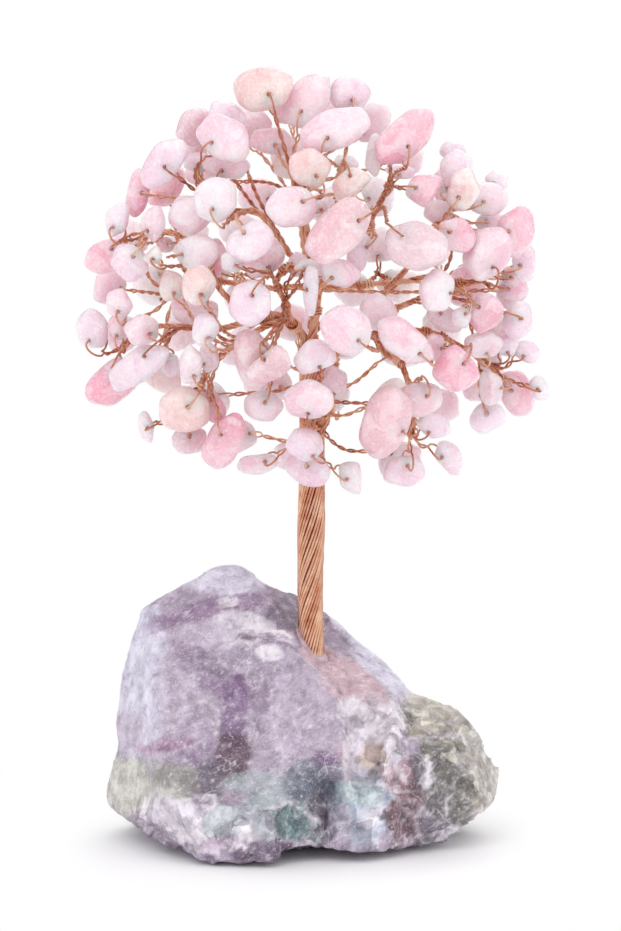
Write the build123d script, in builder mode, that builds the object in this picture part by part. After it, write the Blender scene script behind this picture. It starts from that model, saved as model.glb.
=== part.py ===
from build123d import *
import os
from math import cos, hypot, radians, sin, sqrt

os.makedirs("parts", exist_ok=True)

# Gemstone tree: drilled rose-quartz chips on folded copper wires, a twisted wire trunk and a raw stone base.
# +Z is up, -Y faces the viewer, and the origin is where the trunk's axis meets the resting plane.

# Whole tree
TREE_HEIGHT = 140 * MM
CROWN_DEPTH = 60 * MM
BASE_DEPTH = 54 * MM
SEAT_GAP = 0.05 * MM
OVERRUN = 30 * MM

# Trunk
TRUNK_DIAMETER = 4.6 * MM
TRUNK_FOOT = 27 * MM
TRUNK_TOP = 90 * MM
STRAND_COUNT = 24
STRAND_DIAMETER = 0.46 * MM
STRAND_LAY = 34 * MM
STEPS_PER_TURN = 7

# Socket of the trunk in the base stone
SOCKET_CLEARANCE = 0.5 * MM
SOCKET_FLOOR = 1.2 * MM
LEDGE_HEIGHT = 34.6 * MM

# Branches
LIMB_DIAMETER = 1.9 * MM
LIMB_SPREAD = 1.37 * MM
LIMB_RISE = 1.5 * MM
STEM_DIAMETER = 1.3 * MM
STEM_PITCH = 1.8 * MM
TWIG_PITCH = 1.15 * MM
WIRE_DIAMETER = 0.45 * MM
LEG_SPACING = 0.75 * MM
NECK_GAP = 1.0 * MM
TWIG_LEAST = 1.6 * MM
TWIG_ZONE = 16 * MM
BEND_RISE = 0.75 * MM

# Chips
HOLE_DIAMETER = 0.9 * MM
CHIP_GAP = 0.15 * MM
CHIP_STEP = 0.25 * MM

# Section of a wire or strand: a triangle of about the round wire's area
WIRE_REACH_SHARE = 0.6

# Picture frame. The tree's top and its resting point are rows, and the trunk's axis is a column.
TOP_PX = 66
REST_PX = 842
AXIS_PX = 312
VIEW_CENTRE_PX = 465.5
VIEW_DISTANCE = 900 * MM
VIEW_TILT = 8
PICTURE_SCALE = TREE_HEIGHT / (REST_PX - TOP_PX)

# Crown outline in the picture, an ellipse through the outermost chips
CROWN_X_PX = 310
CROWN_Y_PX = 282
CROWN_HALF_WIDTH_PX = 238
CROWN_HALF_HEIGHT_PX = 216
RIM_SHARE = 0.12
SPLAY_SHARE = 0.55

# Layers count through the crown, from 0 at its front face to 8 at its rear face.
MID_LAYER = 4

# A chip's outline as shares of its half length and half width. Small chips have five sides, large ones six.
SMALL_OUTLINE_SHARES = (
    ((1.0, 0.1), (0.24, 0.98), (-0.86, 0.6), (-0.8, -0.66), (0.42, -0.96)),
    ((0.9, 0.46), (-0.14, 1.0), (-1.0, 0.12), (-0.46, -0.94), (0.76, -0.72)),
    ((0.98, -0.24), (0.6, 0.84), (-0.56, 0.9), (-0.98, -0.28), (0.06, -1.0)),
)
LARGE_OUTLINE_SHARES = (
    ((1.0, 0.15), (0.45, 0.92), (-0.5, 0.86), (-1.0, -0.05), (-0.42, -0.94), (0.6, -0.82)),
    ((0.96, -0.28), (0.78, 0.66), (-0.1, 1.0), (-0.92, 0.42), (-0.8, -0.62), (0.2, -0.98)),
    ((1.0, 0.0), (0.3, 0.98), (-0.72, 0.7), (-0.98, -0.3), (-0.12, -0.98), (0.72, -0.7)),
)
LARGE_CHIP = 8.2 * MM
# Other shares of a chip: thickness of its width, bevel of its half width and half thickness, and place of
# its hole between the middle and the rim
CHIP_THICKNESS_SHARES = (0.62, 0.74, 0.56, 0.68)
BEVEL_INSET_SHARE = 0.36
BEVEL_DROP_SHARE = 0.86
CHIP_ROOM_SHARE = 0.62
CHIP_HOLE_SHARE = 0.5
CHIP_LEANS = (0, 14, -10, 8, -16, 5)

# Limbs: the side of the trunk's top that each one leaves, in degrees, then its route (column, row, layer).
LIMB_ROUTES_PX = {
    "top_limb": (-90, ((316, 310, 3.9), (318, 282, 3.7), (316, 256, 3.5))),
    "left_limb": (180, ((292, 324, 3.5), (272, 315, 3), (248, 326, 2.8))),
    "right_limb": (0, ((340, 332, 3.7), (366, 329, 3.4), (392, 322, 3.3))),
    "back_limb": (90, ((314, 322, 5.2), (310, 292, 5.8), (308, 268, 6))),
}

# Branch stems: the limb that carries each one, how many stem pitches back from the limb's end, and the route.
STEM_ROUTES_PX = {
    "top": ("top_limb", 1, ((309, 240, 3.5), (302, 208, 3.1), (292, 176, 2.9))),
    "top_left": ("top_limb", 2, ((282, 246, 3.2), (257, 212, 2.7), (224, 214, 2.7), (196, 190, 2.9))),
    "top_right": ("top_limb", 1.6, ((330, 250, 3.7), (337, 205, 3.3), (344, 160, 3.3))),
    "upper_right": ("top_limb", 3, ((358, 262, 4.1), (374, 214, 3.7), (392, 180, 3.5))),
    "left": ("left_limb", 3.2, ((226, 296, 3), (205, 260, 2.9), (178, 234, 2.9), (146, 232, 3.3))),
    "centre": ("left_limb", 4.4, ((284, 300, 2.5), (276, 280, 2.1), (292, 262, 2))),
    "left_middle": ("left_limb", 2.2, ((236, 344, 2.4), (212, 364, 2.4), (196, 392, 2.7), (190, 412, 2.9))),
    "lower_left": ("left_limb", 0.3, ((212, 330, 3.1), (176, 326, 3), (140, 330, 3.3), (118, 352, 3.5))),
    "right_upper": ("right_limb", 3, ((384, 294, 3.3), (412, 262, 2.9), (444, 216, 2.8), (470, 204, 3))),
    "right": ("right_limb", 1, ((416, 300, 3.1), (448, 286, 2.9), (484, 278, 3.1))),
    "right_middle": ("right_limb", 0.4, ((428, 332, 2.9), (456, 344, 2.7), (490, 366, 2.9), (504, 384, 3.3))),
    "lower_right": ("right_limb", 2.4, ((384, 352, 3.1), (402, 366, 2.7), (412, 404, 2.7), (410, 440, 2.9))),
    "lower": ("bole", 4.4, ((328, 392, 3.3), (330, 410, 2.7), (318, 436, 2.7), (312, 452, 2.9))),
    "back_top": ("back_limb", 0.6, ((306, 258, 6.2), (304, 222, 6.5), (300, 176, 6.4))),
    "back_left": ("back_limb", 2, ((270, 288, 6.4), (226, 282, 6.5), (186, 280, 6.4), (160, 300, 6.2))),
    "back_right": ("back_limb", 2.4, ((350, 286, 6.4), (398, 282, 6.5), (440, 276, 6.4), (466, 290, 6.2))),
    "back_lower": ("bole", 3, ((316, 380, 5.6), (320, 386, 6.4), (326, 410, 6.6), (322, 440, 6.4))),
}

# Chips of each branch: column, row, length and width in the picture, tilt in degrees and layer.
CHIPS_PX = {
    "top": (
        (264, 89, 58, 46, 10, 1), (308, 101, 64, 42, 68, 2), (272, 141, 46, 28, -5, 3.2),
        (291, 207, 50, 43, 0, 0.6), (310, 168, 44, 38, -20, 1),
    ),
    "top_left": (
        (224, 138, 60, 42, -30, 1), (226, 116, 40, 30, -20, 2), (195, 151, 28, 24, 0, 3.4),
        (198, 162, 30, 22, 0, 2.9), (226, 166, 48, 26, -10, 2.4), (196, 126, 44, 34, 35, 2),
        (163, 163, 60, 36, 52, 1), (138, 193, 48, 24, 80, 2), (215, 200, 46, 44, 0, 0.7),
        (191, 214, 44, 40, 0, 1.7), (250, 242, 48, 40, 20, 0.5),
    ),
    "left": (
        (117, 219, 37, 27, 78, 1), (152, 223, 36, 26, 75, 1), (107, 256, 52, 34, 15, 2),
        (130, 263, 42, 34, -50, 1), (152, 255, 22, 20, 0, 0.6), (165, 245, 20, 16, 0, 3),
        (197, 253, 50, 34, 0, 1.5), (214, 258, 40, 26, 90, 3),
    ),
    "top_right": (
        (350, 95, 42, 38, 0, 2), (334, 130, 76, 40, 18, 1), (346, 163, 26, 18, 0, 3),
        (352, 187, 40, 38, 90, 1), (338, 232, 80, 44, 42, 0.3),
    ),
    "upper_right": (
        (374, 155, 44, 20, 85, 2), (406, 137, 76, 42, 40, 1), (400, 172, 34, 16, 0, 3.4),
        (424, 190, 36, 34, 0, 0.9), (359, 253, 42, 24, 75, 1.8), (415, 246, 64, 48, -10, 0.4),
    ),
    "right_upper": (
        (453, 152, 28, 22, 0, 3), (456, 170, 40, 34, 80, 1.9), (443, 183, 22, 16, 90, 2.7),
        (463, 190, 44, 32, 80, 0.9), (487, 199, 44, 34, 0, 2), (497, 181, 24, 22, 0, 3),
        (438, 212, 30, 26, 0, 1.9), (457, 236, 40, 36, 0, 0.8), (490, 222, 36, 22, 10, 3),
        (515, 232, 54, 38, 75, 1),
    ),
    "right": (
        (487, 254, 58, 46, 55, 0.7), (524, 262, 44, 26, 90, 2), (511, 276, 22, 20, 0, 3),
        (513, 290, 32, 22, 0, 3.6), (437, 291, 44, 36, 90, 0.6), (484, 312, 38, 38, 0, 1),
        (445, 318, 42, 26, -30, 1.9), (461, 318, 22, 22, 0, 1.1), (519, 320, 40, 32, 90, 1.2),
    ),
    "right_middle": (
        (405, 341, 66, 36, -40, 0.5), (433, 347, 30, 22, 80, 1.7), (456, 370, 46, 45, 0, 0.5),
        (482, 345, 44, 28, 0, 1.8), (527, 352, 30, 22, -35, 1.4), (491, 360, 24, 20, 0, 2.4),
        (508, 346, 24, 24, 0, 2.2), (491, 388, 40, 26, -60, 1.6), (517, 393, 52, 34, -60, 0.8),
        (539, 388, 32, 20, -50, 2.2), (488, 418, 38, 32, 20, 1.2),
    ),
    "lower_right": (
        (345, 329, 56, 46, -35, 0.4), (378, 312, 42, 34, -50, 1.6), (420, 400, 54, 36, -10, 1.1),
        (434, 426, 36, 26, -20, 2), (386, 422, 78, 52, 80, 0.6), (449, 458, 42, 26, -60, 1),
        (404, 471, 44, 34, 0, 1.5),
    ),
    "lower": (
        (353, 478, 40, 28, -60, 1.2), (333, 383, 36, 30, 90, 1.6), (315, 356, 44, 34, 10, 0.9),
        (308, 400, 50, 40, 20, 0.4), (304, 445, 38, 36, -30, 0.7), (307, 469, 48, 36, -25, 1.6),
        (257, 464, 42, 22, 10, 1.6),
    ),
    "centre": (
        (232, 262, 24, 22, 0, 1.1), (263, 259, 48, 34, 35, 2.4), (250, 304, 48, 42, 70, 0.6),
        (298, 265, 26, 20, 90, 1.8), (311, 292, 52, 16, 88, 0.9), (316, 267, 44, 18, 0, 1.5),
        (339, 273, 42, 28, -10, 1.1), (254, 360, 64, 38, 100, 1.1), (268, 366, 48, 34, 25, 0.4),
        (262, 406, 42, 32, 0, 1.7),
    ),
    "left_middle": (
        (198, 285, 40, 34, 90, 0.6), (172, 286, 32, 26, 100, 1.6), (194, 311, 50, 28, -5, 2.9),
        (205, 330, 36, 28, 80, 0.8), (191, 366, 42, 24, 90, 0.8), (209, 357, 32, 22, 90, 1.9),
        (183, 410, 54, 46, 20, 0.8), (213, 407, 44, 24, -70, 2), (190, 440, 36, 30, 0, 1.8),
        (146, 427, 35, 18, 90, 1), (224, 440, 64, 38, 68, 0.7),
    ),
    "lower_left": (
        (93, 329, 42, 40, 0, 1.4), (119, 303, 30, 28, 90, 1), (117, 328, 28, 20, 90, 2.2),
        (142, 330, 36, 32, 0, 1), (138, 366, 84, 32, 33, 0.6), (112, 383, 66, 42, 38, 2),
        (170, 365, 26, 22, 90, 1.8),
    ),
    "back_top": (
        (290, 104, 50, 40, 20, 4.9), (335, 112, 46, 36, -30, 6.6), (246, 128, 52, 38, 40, 5.4),
        (296, 160, 54, 42, 0, 7), (372, 122, 48, 34, 60, 5), (404, 158, 44, 34, -20, 5.8),
        (258, 196, 46, 40, -35, 7.6), (332, 205, 50, 40, 30, 8), (206, 172, 44, 32, 10, 5.2),
        (378, 196, 42, 36, 80, 7.4),
    ),
    "back_left": (
        (166, 186, 48, 34, 50, 5.2), (130, 236, 44, 36, -20, 5.8), (186, 236, 50, 40, 15, 7.4),
        (110, 286, 44, 34, 70, 4.8), (152, 284, 52, 38, -35, 7.8), (210, 268, 46, 40, 0, 8),
        (122, 334, 44, 36, 25, 5.4), (182, 330, 50, 38, 60, 7.6), (240, 230, 48, 38, -15, 8),
        (160, 374, 50, 36, -30, 5.6), (246, 296, 50, 40, 35, 8),
    ),
    "back_right": (
        (450, 190, 50, 36, -40, 5.2), (494, 234, 44, 34, 30, 5.6), (430, 246, 46, 40, -10, 7.4),
        (512, 290, 40, 32, 80, 4.9), (468, 284, 52, 38, 35, 6.8), (400, 286, 48, 38, 5, 8),
        (500, 336, 44, 36, -25, 5.4), (442, 330, 50, 38, -60, 7.4), (378, 246, 44, 38, 20, 8),
        (484, 384, 50, 36, 25, 5.6), (352, 288, 46, 36, -30, 8),
    ),
    "back_lower": (
        (238, 346, 50, 38, 30, 8), (292, 322, 46, 38, -20, 8), (350, 338, 50, 40, 45, 8),
        (402, 350, 46, 36, 0, 8), (208, 398, 48, 36, -40, 6.2), (268, 384, 50, 40, 10, 7.6),
        (330, 392, 46, 40, -30, 7.4), (390, 402, 50, 36, 50, 7), (440, 404, 44, 34, -20, 5.8),
        (236, 436, 46, 34, 20, 6), (296, 456, 50, 36, -10, 6.6), (400, 460, 46, 34, 35, 5.4),
    ),
}

# Outline of the base stone in the picture, from its lower left corner clockwise
BASE_FRONT_PX = (
    (106, 809), (105, 795), (112, 770), (116, 748), (114, 724), (119, 693), (121, 652), (127, 632),
    (139, 609), (165, 595), (192, 581), (216, 568), (237, 567), (253, 577), (274, 591), (296, 597),
    (327, 614), (342, 627), (360, 644), (380, 659), (397, 676), (412, 694), (429, 699), (449, 709),
    (467, 726), (484, 749), (499, 773), (501, 786), (494, 806), (474, 821), (441, 840), (404, 848),
    (330, 843), (294, 846), (274, 854), (241, 859), (204, 853), (151, 833),
)
BASE_PEAK_PX = 567

# Side outline as shares of half the base's depth and of its height, front first
BASE_SIDE_SHARES = (
    (-0.92, 0), (-1, 0.1), (-0.98, 0.24), (-0.86, 0.5), (-0.3, 1), (0.46, 1), (0.76, 0.72), (0.94, 0.44),
    (1, 0.2), (0.86, 0),
)
# Plan outline as shares of half the base's width and depth, measured from the middle of its width
BASE_PLAN_SHARES = (
    (-1, 0.1), (-0.9, -0.42), (-0.62, -0.84), (-0.3, -1), (-0.02, -0.98), (0.3, -0.86), (0.6, -0.7),
    (0.86, -0.46), (1, -0.1), (0.94, 0.36), (0.66, 0.78), (0.2, 0.96), (-0.24, 1), (-0.64, 0.8), (-0.94, 0.4),
)
# Fracture planes right through the stone: a picture place that each one passes, its depth as a share of half
# the base's depth, negative in front of the axis, and the azimuth and elevation of the normal in degrees
SIDE_FRACTURES_PX = ((160, 690, -0.35, -150, 12), (215, 602, 0, -92, 54), (150, 608, -0.02, -128, 46))
END_FRACTURES_PX = ((490, 778, -0.12, -22, 14), (472, 824, -0.3, -50, -46), (484, 760, -0.2, -44, 30))
TOE_FRACTURES_PX = ((230, 835, -0.94, -100, 6), (150, 835, -0.5, -140, -14))
REAR_FRACTURES_PX = (
    (150, 690, 0.5, 146, 14), (190, 592, 0.44, 118, 42), (270, 600, 0.56, 86, 40), (290, 700, 0.86, 88, 16),
    (380, 655, 0.3, 52, 26), (420, 730, 0.6, 62, 22), (470, 740, 0.3, 30, 26), (140, 800, 0.5, 140, -30),
    (450, 800, 0.5, 44, -30), (290, 800, 0.95, 100, -26),
)
# Breaks where a piece has split off: the faces that it left, each written like a fracture plane
BASE_BREAKS_PX = {
    "front face over the toe": ((300, 652, -0.2, -95, 35), (215, 797, -0.8, -94, 62)),
    "top of the right block": ((430, 701, 0, -70, 58), (404, 702, -0.1, -20, 20)),
    "front of the right block": ((440, 780, -0.48, -74, 6), (396, 800, -0.6, 4, 2)),
    "front of the middle block": ((365, 815, -0.74, -84, 10), (296, 815, -0.8, -38, -8)),
    "recess beside the middle block": (
        (304, 800, -0.8, -34, 8), (326, 800, -0.6, -84, 8), (346, 800, -0.8, 206, 16),
        (324, 772, -0.72, -100, -46),
    ),
    "hollow beside the front face": (
        (346, 735, -0.5, -6, 12), (365, 735, -0.42, -84, 32), (390, 735, -0.5, 172, 14),
        (365, 784, -0.6, -90, 60),
    ),
}
# Planes of the ledge that the trunk stands on: azimuth and elevation of the normal in degrees, and the
# plane's distance from the trunk's axis at the ledge, positive along the normal
LEDGE_PLANES = ((-40, 64, 0 * MM), (-84, 34, -5.5 * MM), (-20, 45, 0.7 * MM))


def slanted(azimuth, elevation):
    """Unit vector at this azimuth and elevation."""
    flat = cos(radians(elevation))
    return Vector(cos(radians(azimuth)) * flat, sin(radians(azimuth)) * flat, sin(radians(elevation)))


def from_picture(x_px, y_px, depth):
    """The point at this picture place that lies the given depth behind the plane through the trunk's axis."""
    tilt = radians(VIEW_TILT)
    across = (x_px - AXIS_PX) * PICTURE_SCALE
    rise = (VIEW_CENTRE_PX - y_px) * PICTURE_SCALE
    middle = (REST_PX - VIEW_CENTRE_PX) * PICTURE_SCALE / cos(tilt)
    height = rise * (1 + depth * cos(tilt) / VIEW_DISTANCE) - depth * sin(tilt)
    height = height / (cos(tilt) + rise * sin(tilt) / VIEW_DISTANCE)
    away = (depth * cos(tilt) - height * sin(tilt)) / VIEW_DISTANCE
    return Vector(across * (1 + away), depth, middle + height)


def layer_depth(x_px, y_px, layer):
    """Depth of a layer of the crown at this picture place: the crown is thickest at its middle."""
    reach = hypot((x_px - CROWN_X_PX) / CROWN_HALF_WIDTH_PX, (y_px - CROWN_Y_PX) / CROWN_HALF_HEIGHT_PX)
    thickness = sqrt(max(RIM_SHARE**2, 1 - reach**2))
    return (layer / MID_LAYER - 1) * thickness * CROWN_DEPTH / 2


def route_points(route_px):
    return [from_picture(x_px, y_px, layer_depth(x_px, y_px, layer)) for x_px, y_px, layer in route_px]


def along(points, distance):
    """The point and direction at this distance back from the end of a route."""
    for start, end in zip(points[-2::-1], points[:0:-1]):
        span = (end - start).length
        if distance <= span or start is points[0]:
            return end + (start - end).normalized() * min(distance, span), (end - start).normalized()
        distance -= span


def leave(points, distance, radius, target, child_radius):
    """Where a thinner bundle that runs to the target leaves the side of a thicker one."""
    spot, run = along(points, distance)
    outward = target - spot
    outward = (outward - run * outward.dot(run)).normalized()
    slant = abs((target - spot).normalized().dot(run))
    return spot + outward * (radius + SEAT_GAP + child_radius * slant)


def bundle(points, diameter, label):
    """A twisted bundle as a six-sided bar along its route."""
    with BuildPart() as bar:
        with BuildLine() as route:
            Polyline(*points)
        with BuildSketch(Plane(origin=route.line @ 0, z_dir=route.line % 0)):
            RegularPolygon(radius=diameter / 2, side_count=6)
        sweep(path=route.line, transition=Transition.RIGHT)
    bar.part.label = label
    return bar.part


def wire(points, diameter, label):
    """One wire as a three-sided bar along its route."""
    with BuildPart() as bar:
        with BuildLine() as route:
            Polyline(*points)
        with BuildSketch(Plane(origin=route.line @ 0, z_dir=route.line % 0)):
            RegularPolygon(radius=diameter * WIRE_REACH_SHARE, side_count=3)
        sweep(path=route.line, transition=Transition.RIGHT)
    bar.part.label = label
    return bar.part


class Chip:
    """Place and size of one drilled chip."""

    def __init__(self, row, number):
        self.x_px, self.y_px, length_px, width_px, self.tilt, layer = row
        self.number = number
        self.length = length_px * PICTURE_SCALE
        self.width = width_px * PICTURE_SCALE
        self.thickness = self.width * CHIP_THICKNESS_SHARES[number % len(CHIP_THICKNESS_SHARES)]
        self.rear = layer > MID_LAYER
        self.place(layer_depth(self.x_px, self.y_px, layer))

    def place(self, depth):
        """Set the chip at this depth. Its face looks out of the crown, and its length follows the tilt."""
        self.depth = depth
        self.spot = from_picture(self.x_px, self.y_px, depth)
        splay_x = SPLAY_SHARE * (self.x_px - CROWN_X_PX) / CROWN_HALF_WIDTH_PX
        splay_z = SPLAY_SHARE * (CROWN_Y_PX - self.y_px) / CROWN_HALF_HEIGHT_PX
        normal = Vector(splay_x, 1 if self.rear else -1, splay_z).normalized()
        normal = normal.rotate(Axis.Z, CHIP_LEANS[self.number % len(CHIP_LEANS)])
        length_way = Vector(cos(radians(self.tilt)), 0, sin(radians(self.tilt)))
        length_way = (length_way - normal * length_way.dot(normal)).normalized()
        self.plane = Plane(origin=self.spot, x_dir=length_way, z_dir=normal)

    def reach(self, way):
        """Distance from the chip's middle to its rim in a direction of its own plane."""
        long_share = way.dot(self.plane.x_dir) * 2 / self.length
        wide_share = way.dot(self.plane.y_dir) * 2 / self.width
        return 1 / hypot(long_share, wide_share)

    def picture_reach(self, across, up):
        """Half size of the chip in a direction of the picture plane."""
        turn = radians(self.tilt)
        long_share = across * cos(turn) + up * sin(turn)
        wide_share = up * cos(turn) - across * sin(turn)
        return hypot(long_share * self.length / 2, wide_share * self.width / 2)

    def touches(self, other):
        gap = self.spot - other.spot
        apart = hypot(gap.X, gap.Z)
        across, up = gap.X / apart, gap.Z / apart
        room = self.picture_reach(across, up) + other.picture_reach(across, up) + CHIP_GAP
        deep_room = (self.thickness + other.thickness) * CHIP_ROOM_SHARE + CHIP_GAP
        return hypot(apart / room, gap.Y / deep_room) < 1

    def meets(self, route, radius):
        """Whether a bundle along this route runs into the chip."""
        plane = self.plane
        for start, end in zip(route, route[1:]):
            share = (plane.origin - start).dot(end - start) / (end - start).dot(end - start)
            gap = start + (end - start) * min(max(share, 0), 1) - plane.origin
            long_share = gap.dot(plane.x_dir) / (self.length / 2 + radius + CHIP_GAP)
            wide_share = gap.dot(plane.y_dir) / (self.width / 2 + radius + CHIP_GAP)
            deep_share = gap.dot(plane.z_dir) / (self.thickness * CHIP_ROOM_SHARE + radius + CHIP_GAP)
            if hypot(long_share, wide_share, deep_share) < 1:
                return True
        return False

    def leg_way(self, target):
        """Direction in the chip's plane from its middle towards the twig that carries it."""
        plane = self.plane
        way = target - plane.origin
        return (way - plane.z_dir * way.dot(plane.z_dir)).normalized()

    def solid(self, hole):
        plane = self.plane
        outlines = LARGE_OUTLINE_SHARES if self.length > LARGE_CHIP else SMALL_OUTLINE_SHARES
        outline = outlines[self.number % len(outlines)]
        with BuildPart() as chip:
            with BuildSketch(plane):
                with BuildLine():
                    Polyline(*[(x * self.length / 2, y * self.width / 2) for x, y in outline], close=True)
                make_face()
            extrude(amount=self.thickness / 2, both=True)
            for side in (0, -1):
                face = chip.faces().sort_by(Axis(plane.origin, plane.z_dir))[side]
                inset = self.width / 2 * BEVEL_INSET_SHARE
                drop = self.thickness / 2 * BEVEL_DROP_SHARE
                chamfer(face.edges(), length=inset, length2=drop, reference=face)
            with BuildSketch(Plane(origin=hole, x_dir=plane.x_dir, z_dir=plane.z_dir)):
                RegularPolygon(radius=HOLE_DIAMETER / 2, side_count=4)
            extrude(amount=self.thickness, both=True, mode=Mode.SUBTRACT)
        chip.part.label = "chip"
        return chip.part


def settle(chips, bundles):
    """Move each chip back, from the crown's outside inwards, until it clears bundles and earlier chips."""
    placed = []
    for chip in sorted(chips, key=lambda chip: -abs(chip.depth)):
        step = -CHIP_STEP if chip.rear else CHIP_STEP
        while any(chip.touches(other) for other in placed) or any(chip.meets(*other) for other in bundles):
            chip.place(chip.depth + step)
        placed.append(chip)


def nearest_slot(chip, stem, slots, chips):
    """The free place on the stem nearest to the chip, where a twig has some length and clears other chips."""
    near = [other for other in chips if other is not chip and (other.spot - chip.spot).length < TWIG_ZONE]

    def miss(distance):
        spot = along(stem, distance)[0]
        length = (chip.spot - spot).length - chip.reach(chip.leg_way(spot)) - NECK_GAP
        legs = twig_route(chip, stem, distance)[1]
        blocked = any(other.meets(legs, WIRE_DIAMETER / 2) for other in near)
        return length + TREE_HEIGHT * (blocked + (length < TWIG_LEAST))

    return min(slots, key=miss)


def twig_route(chip, stem, distance):
    """Route of the folded wire: out along one leg, through the chip's hole and back along the other."""
    way = chip.leg_way(along(stem, distance)[0])
    normal = chip.plane.z_dir
    hole = chip.spot + way * chip.reach(way) * CHIP_HOLE_SHARE
    neck = chip.spot + way * (chip.reach(way) + NECK_GAP)
    root = leave(stem, distance, STEM_DIAMETER / 2, neck, WIRE_DIAMETER * WIRE_REACH_SHARE)
    leg = (neck - root).normalized()
    apart = normal + way * abs(normal.dot(leg))
    half = (apart - leg * apart.dot(leg)).normalized() * LEG_SPACING / 2
    bend = normal * (chip.thickness / 2 + BEND_RISE)
    return hole, [root + half, neck + half, hole + bend, hole - bend, neck - half, root - half]


def group(solids, label):
    """Identical or like pieces that share one node, each still its own solid."""
    node = Compound(label=label, children=solids)
    export_step(node, "parts/" + label + ".step")


# Base stone
BASE_HEIGHT = (REST_PX - BASE_PEAK_PX) * PICTURE_SCALE
BASE_LEFT = (min(x for x, y in BASE_FRONT_PX) - AXIS_PX) * PICTURE_SCALE
BASE_RIGHT = (max(x for x, y in BASE_FRONT_PX) - AXIS_PX) * PICTURE_SCALE
BASE_MIDDLE = (BASE_LEFT + BASE_RIGHT) / 2
BASE_WIDTH = BASE_RIGHT - BASE_LEFT
SOCKET_RADIUS = TRUNK_DIAMETER / 2 + SOCKET_CLEARANCE
LEDGE_SPOT = Vector(0, 0, LEDGE_HEIGHT)


def fracture(x_px, y_px, share, azimuth, elevation):
    """Plane of a fracture, with its normal out of the stone."""
    return Plane(origin=from_picture(x_px, y_px, share * BASE_DEPTH / 2), z_dir=slanted(azimuth, elevation))


def split_off(planes):
    """The piece beyond all these planes, as a block large enough to cut it off the stone."""
    with BuildPart() as piece:
        with Locations(LEDGE_SPOT):
            Box(BASE_WIDTH * 2, BASE_DEPTH * 2, BASE_HEIGHT * 2)
        for plane in planes:
            split(bisect_by=plane, keep=Keep.TOP)
    return piece.part


with BuildPart() as base_stone:
    with BuildSketch(Plane(origin=(0, 0, 0), x_dir=(1, 0, 0), z_dir=slanted(-90, VIEW_TILT))):
        with BuildLine():
            Polyline(
                *[((x - AXIS_PX) * PICTURE_SCALE, (REST_PX - y) * PICTURE_SCALE) for x, y in BASE_FRONT_PX],
                close=True,
            )
        make_face()
    extrude(amount=BASE_DEPTH, both=True)
    with BuildSketch(Plane.YZ):
        with BuildLine():
            Polyline(*[(y * BASE_DEPTH / 2, z * BASE_HEIGHT) for y, z in BASE_SIDE_SHARES], close=True)
        make_face()
    extrude(amount=BASE_WIDTH, both=True, mode=Mode.INTERSECT)
    with BuildSketch(Plane.XY):
        with BuildLine():
            Polyline(
                *[(BASE_MIDDLE + x * BASE_WIDTH / 2, y * BASE_DEPTH / 2) for x, y in BASE_PLAN_SHARES],
                close=True,
            )
        make_face()
    extrude(amount=BASE_HEIGHT, mode=Mode.INTERSECT)
    for values in SIDE_FRACTURES_PX + END_FRACTURES_PX + TOE_FRACTURES_PX + REAR_FRACTURES_PX:
        split(bisect_by=fracture(*values), keep=Keep.BOTTOM)
    for faces in BASE_BREAKS_PX.values():
        add(split_off([fracture(*values) for values in faces]), mode=Mode.SUBTRACT)
    ledge_normals = [(slanted(azimuth, elevation), distance) for azimuth, elevation, distance in LEDGE_PLANES]
    ledge = [Plane(origin=LEDGE_SPOT + normal * distance, z_dir=normal) for normal, distance in ledge_normals]
    add(split_off(ledge), mode=Mode.SUBTRACT)
    with BuildSketch(Plane.XY.offset(TRUNK_FOOT - SOCKET_FLOOR)):
        Circle(SOCKET_RADIUS)
    extrude(amount=OVERRUN, mode=Mode.SUBTRACT)
base_stone.part.label = "base_stone"
export_step(base_stone.part, "parts/base_stone.step")

# Adhesive that beds the foot of the trunk in its socket
with BuildPart() as foot_adhesive:
    with BuildSketch(Plane.XY.offset(TRUNK_FOOT - SOCKET_FLOOR)):
        Circle(SOCKET_RADIUS)
    extrude(amount=SOCKET_FLOOR - SEAT_GAP)
    with BuildSketch(Plane.XY.offset(TRUNK_FOOT - SEAT_GAP)):
        Circle(SOCKET_RADIUS)
        Circle(TRUNK_DIAMETER / 2 + SEAT_GAP, mode=Mode.SUBTRACT)
    extrude(amount=LEDGE_HEIGHT - TRUNK_FOOT - SOCKET_FLOOR)
foot_adhesive.part.label = "foot_adhesive"
export_step(foot_adhesive.part, "parts/foot_adhesive.step")

# Trunk: an inner bundle, with a closed layer of strands laid round it
STRAND_RADIUS = (TRUNK_DIAMETER - STRAND_DIAMETER) / 2
STEP_ANGLE = 360 / STEPS_PER_TURN
CORE_RADIUS = STRAND_RADIUS * cos(radians(STEP_ANGLE / 2)) - STRAND_DIAMETER * WIRE_REACH_SHARE - SEAT_GAP
STRAND_STEPS = round((TRUNK_TOP - TRUNK_FOOT) / STRAND_LAY * STEPS_PER_TURN)
STRAND_RISE = (TRUNK_TOP - TRUNK_FOOT) / STRAND_STEPS

with BuildPart() as trunk_core:
    with BuildSketch(Plane.XY.offset(TRUNK_FOOT)):
        RegularPolygon(radius=CORE_RADIUS, side_count=12)
    extrude(amount=TRUNK_TOP - TRUNK_FOOT)
trunk_core.part.label = "trunk_core"
export_step(trunk_core.part, "parts/trunk_core.step")


def strand_point(number, step):
    turn = radians(360 * number / STRAND_COUNT + STEP_ANGLE * step)
    return Vector(STRAND_RADIUS * cos(turn), STRAND_RADIUS * sin(turn), TRUNK_FOOT + STRAND_RISE * step)


group(
    [
        wire([strand_point(number, step) for step in range(STRAND_STEPS + 1)], STRAND_DIAMETER, "strand")
        for number in range(STRAND_COUNT)
    ],
    "trunk_strands",
)

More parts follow.
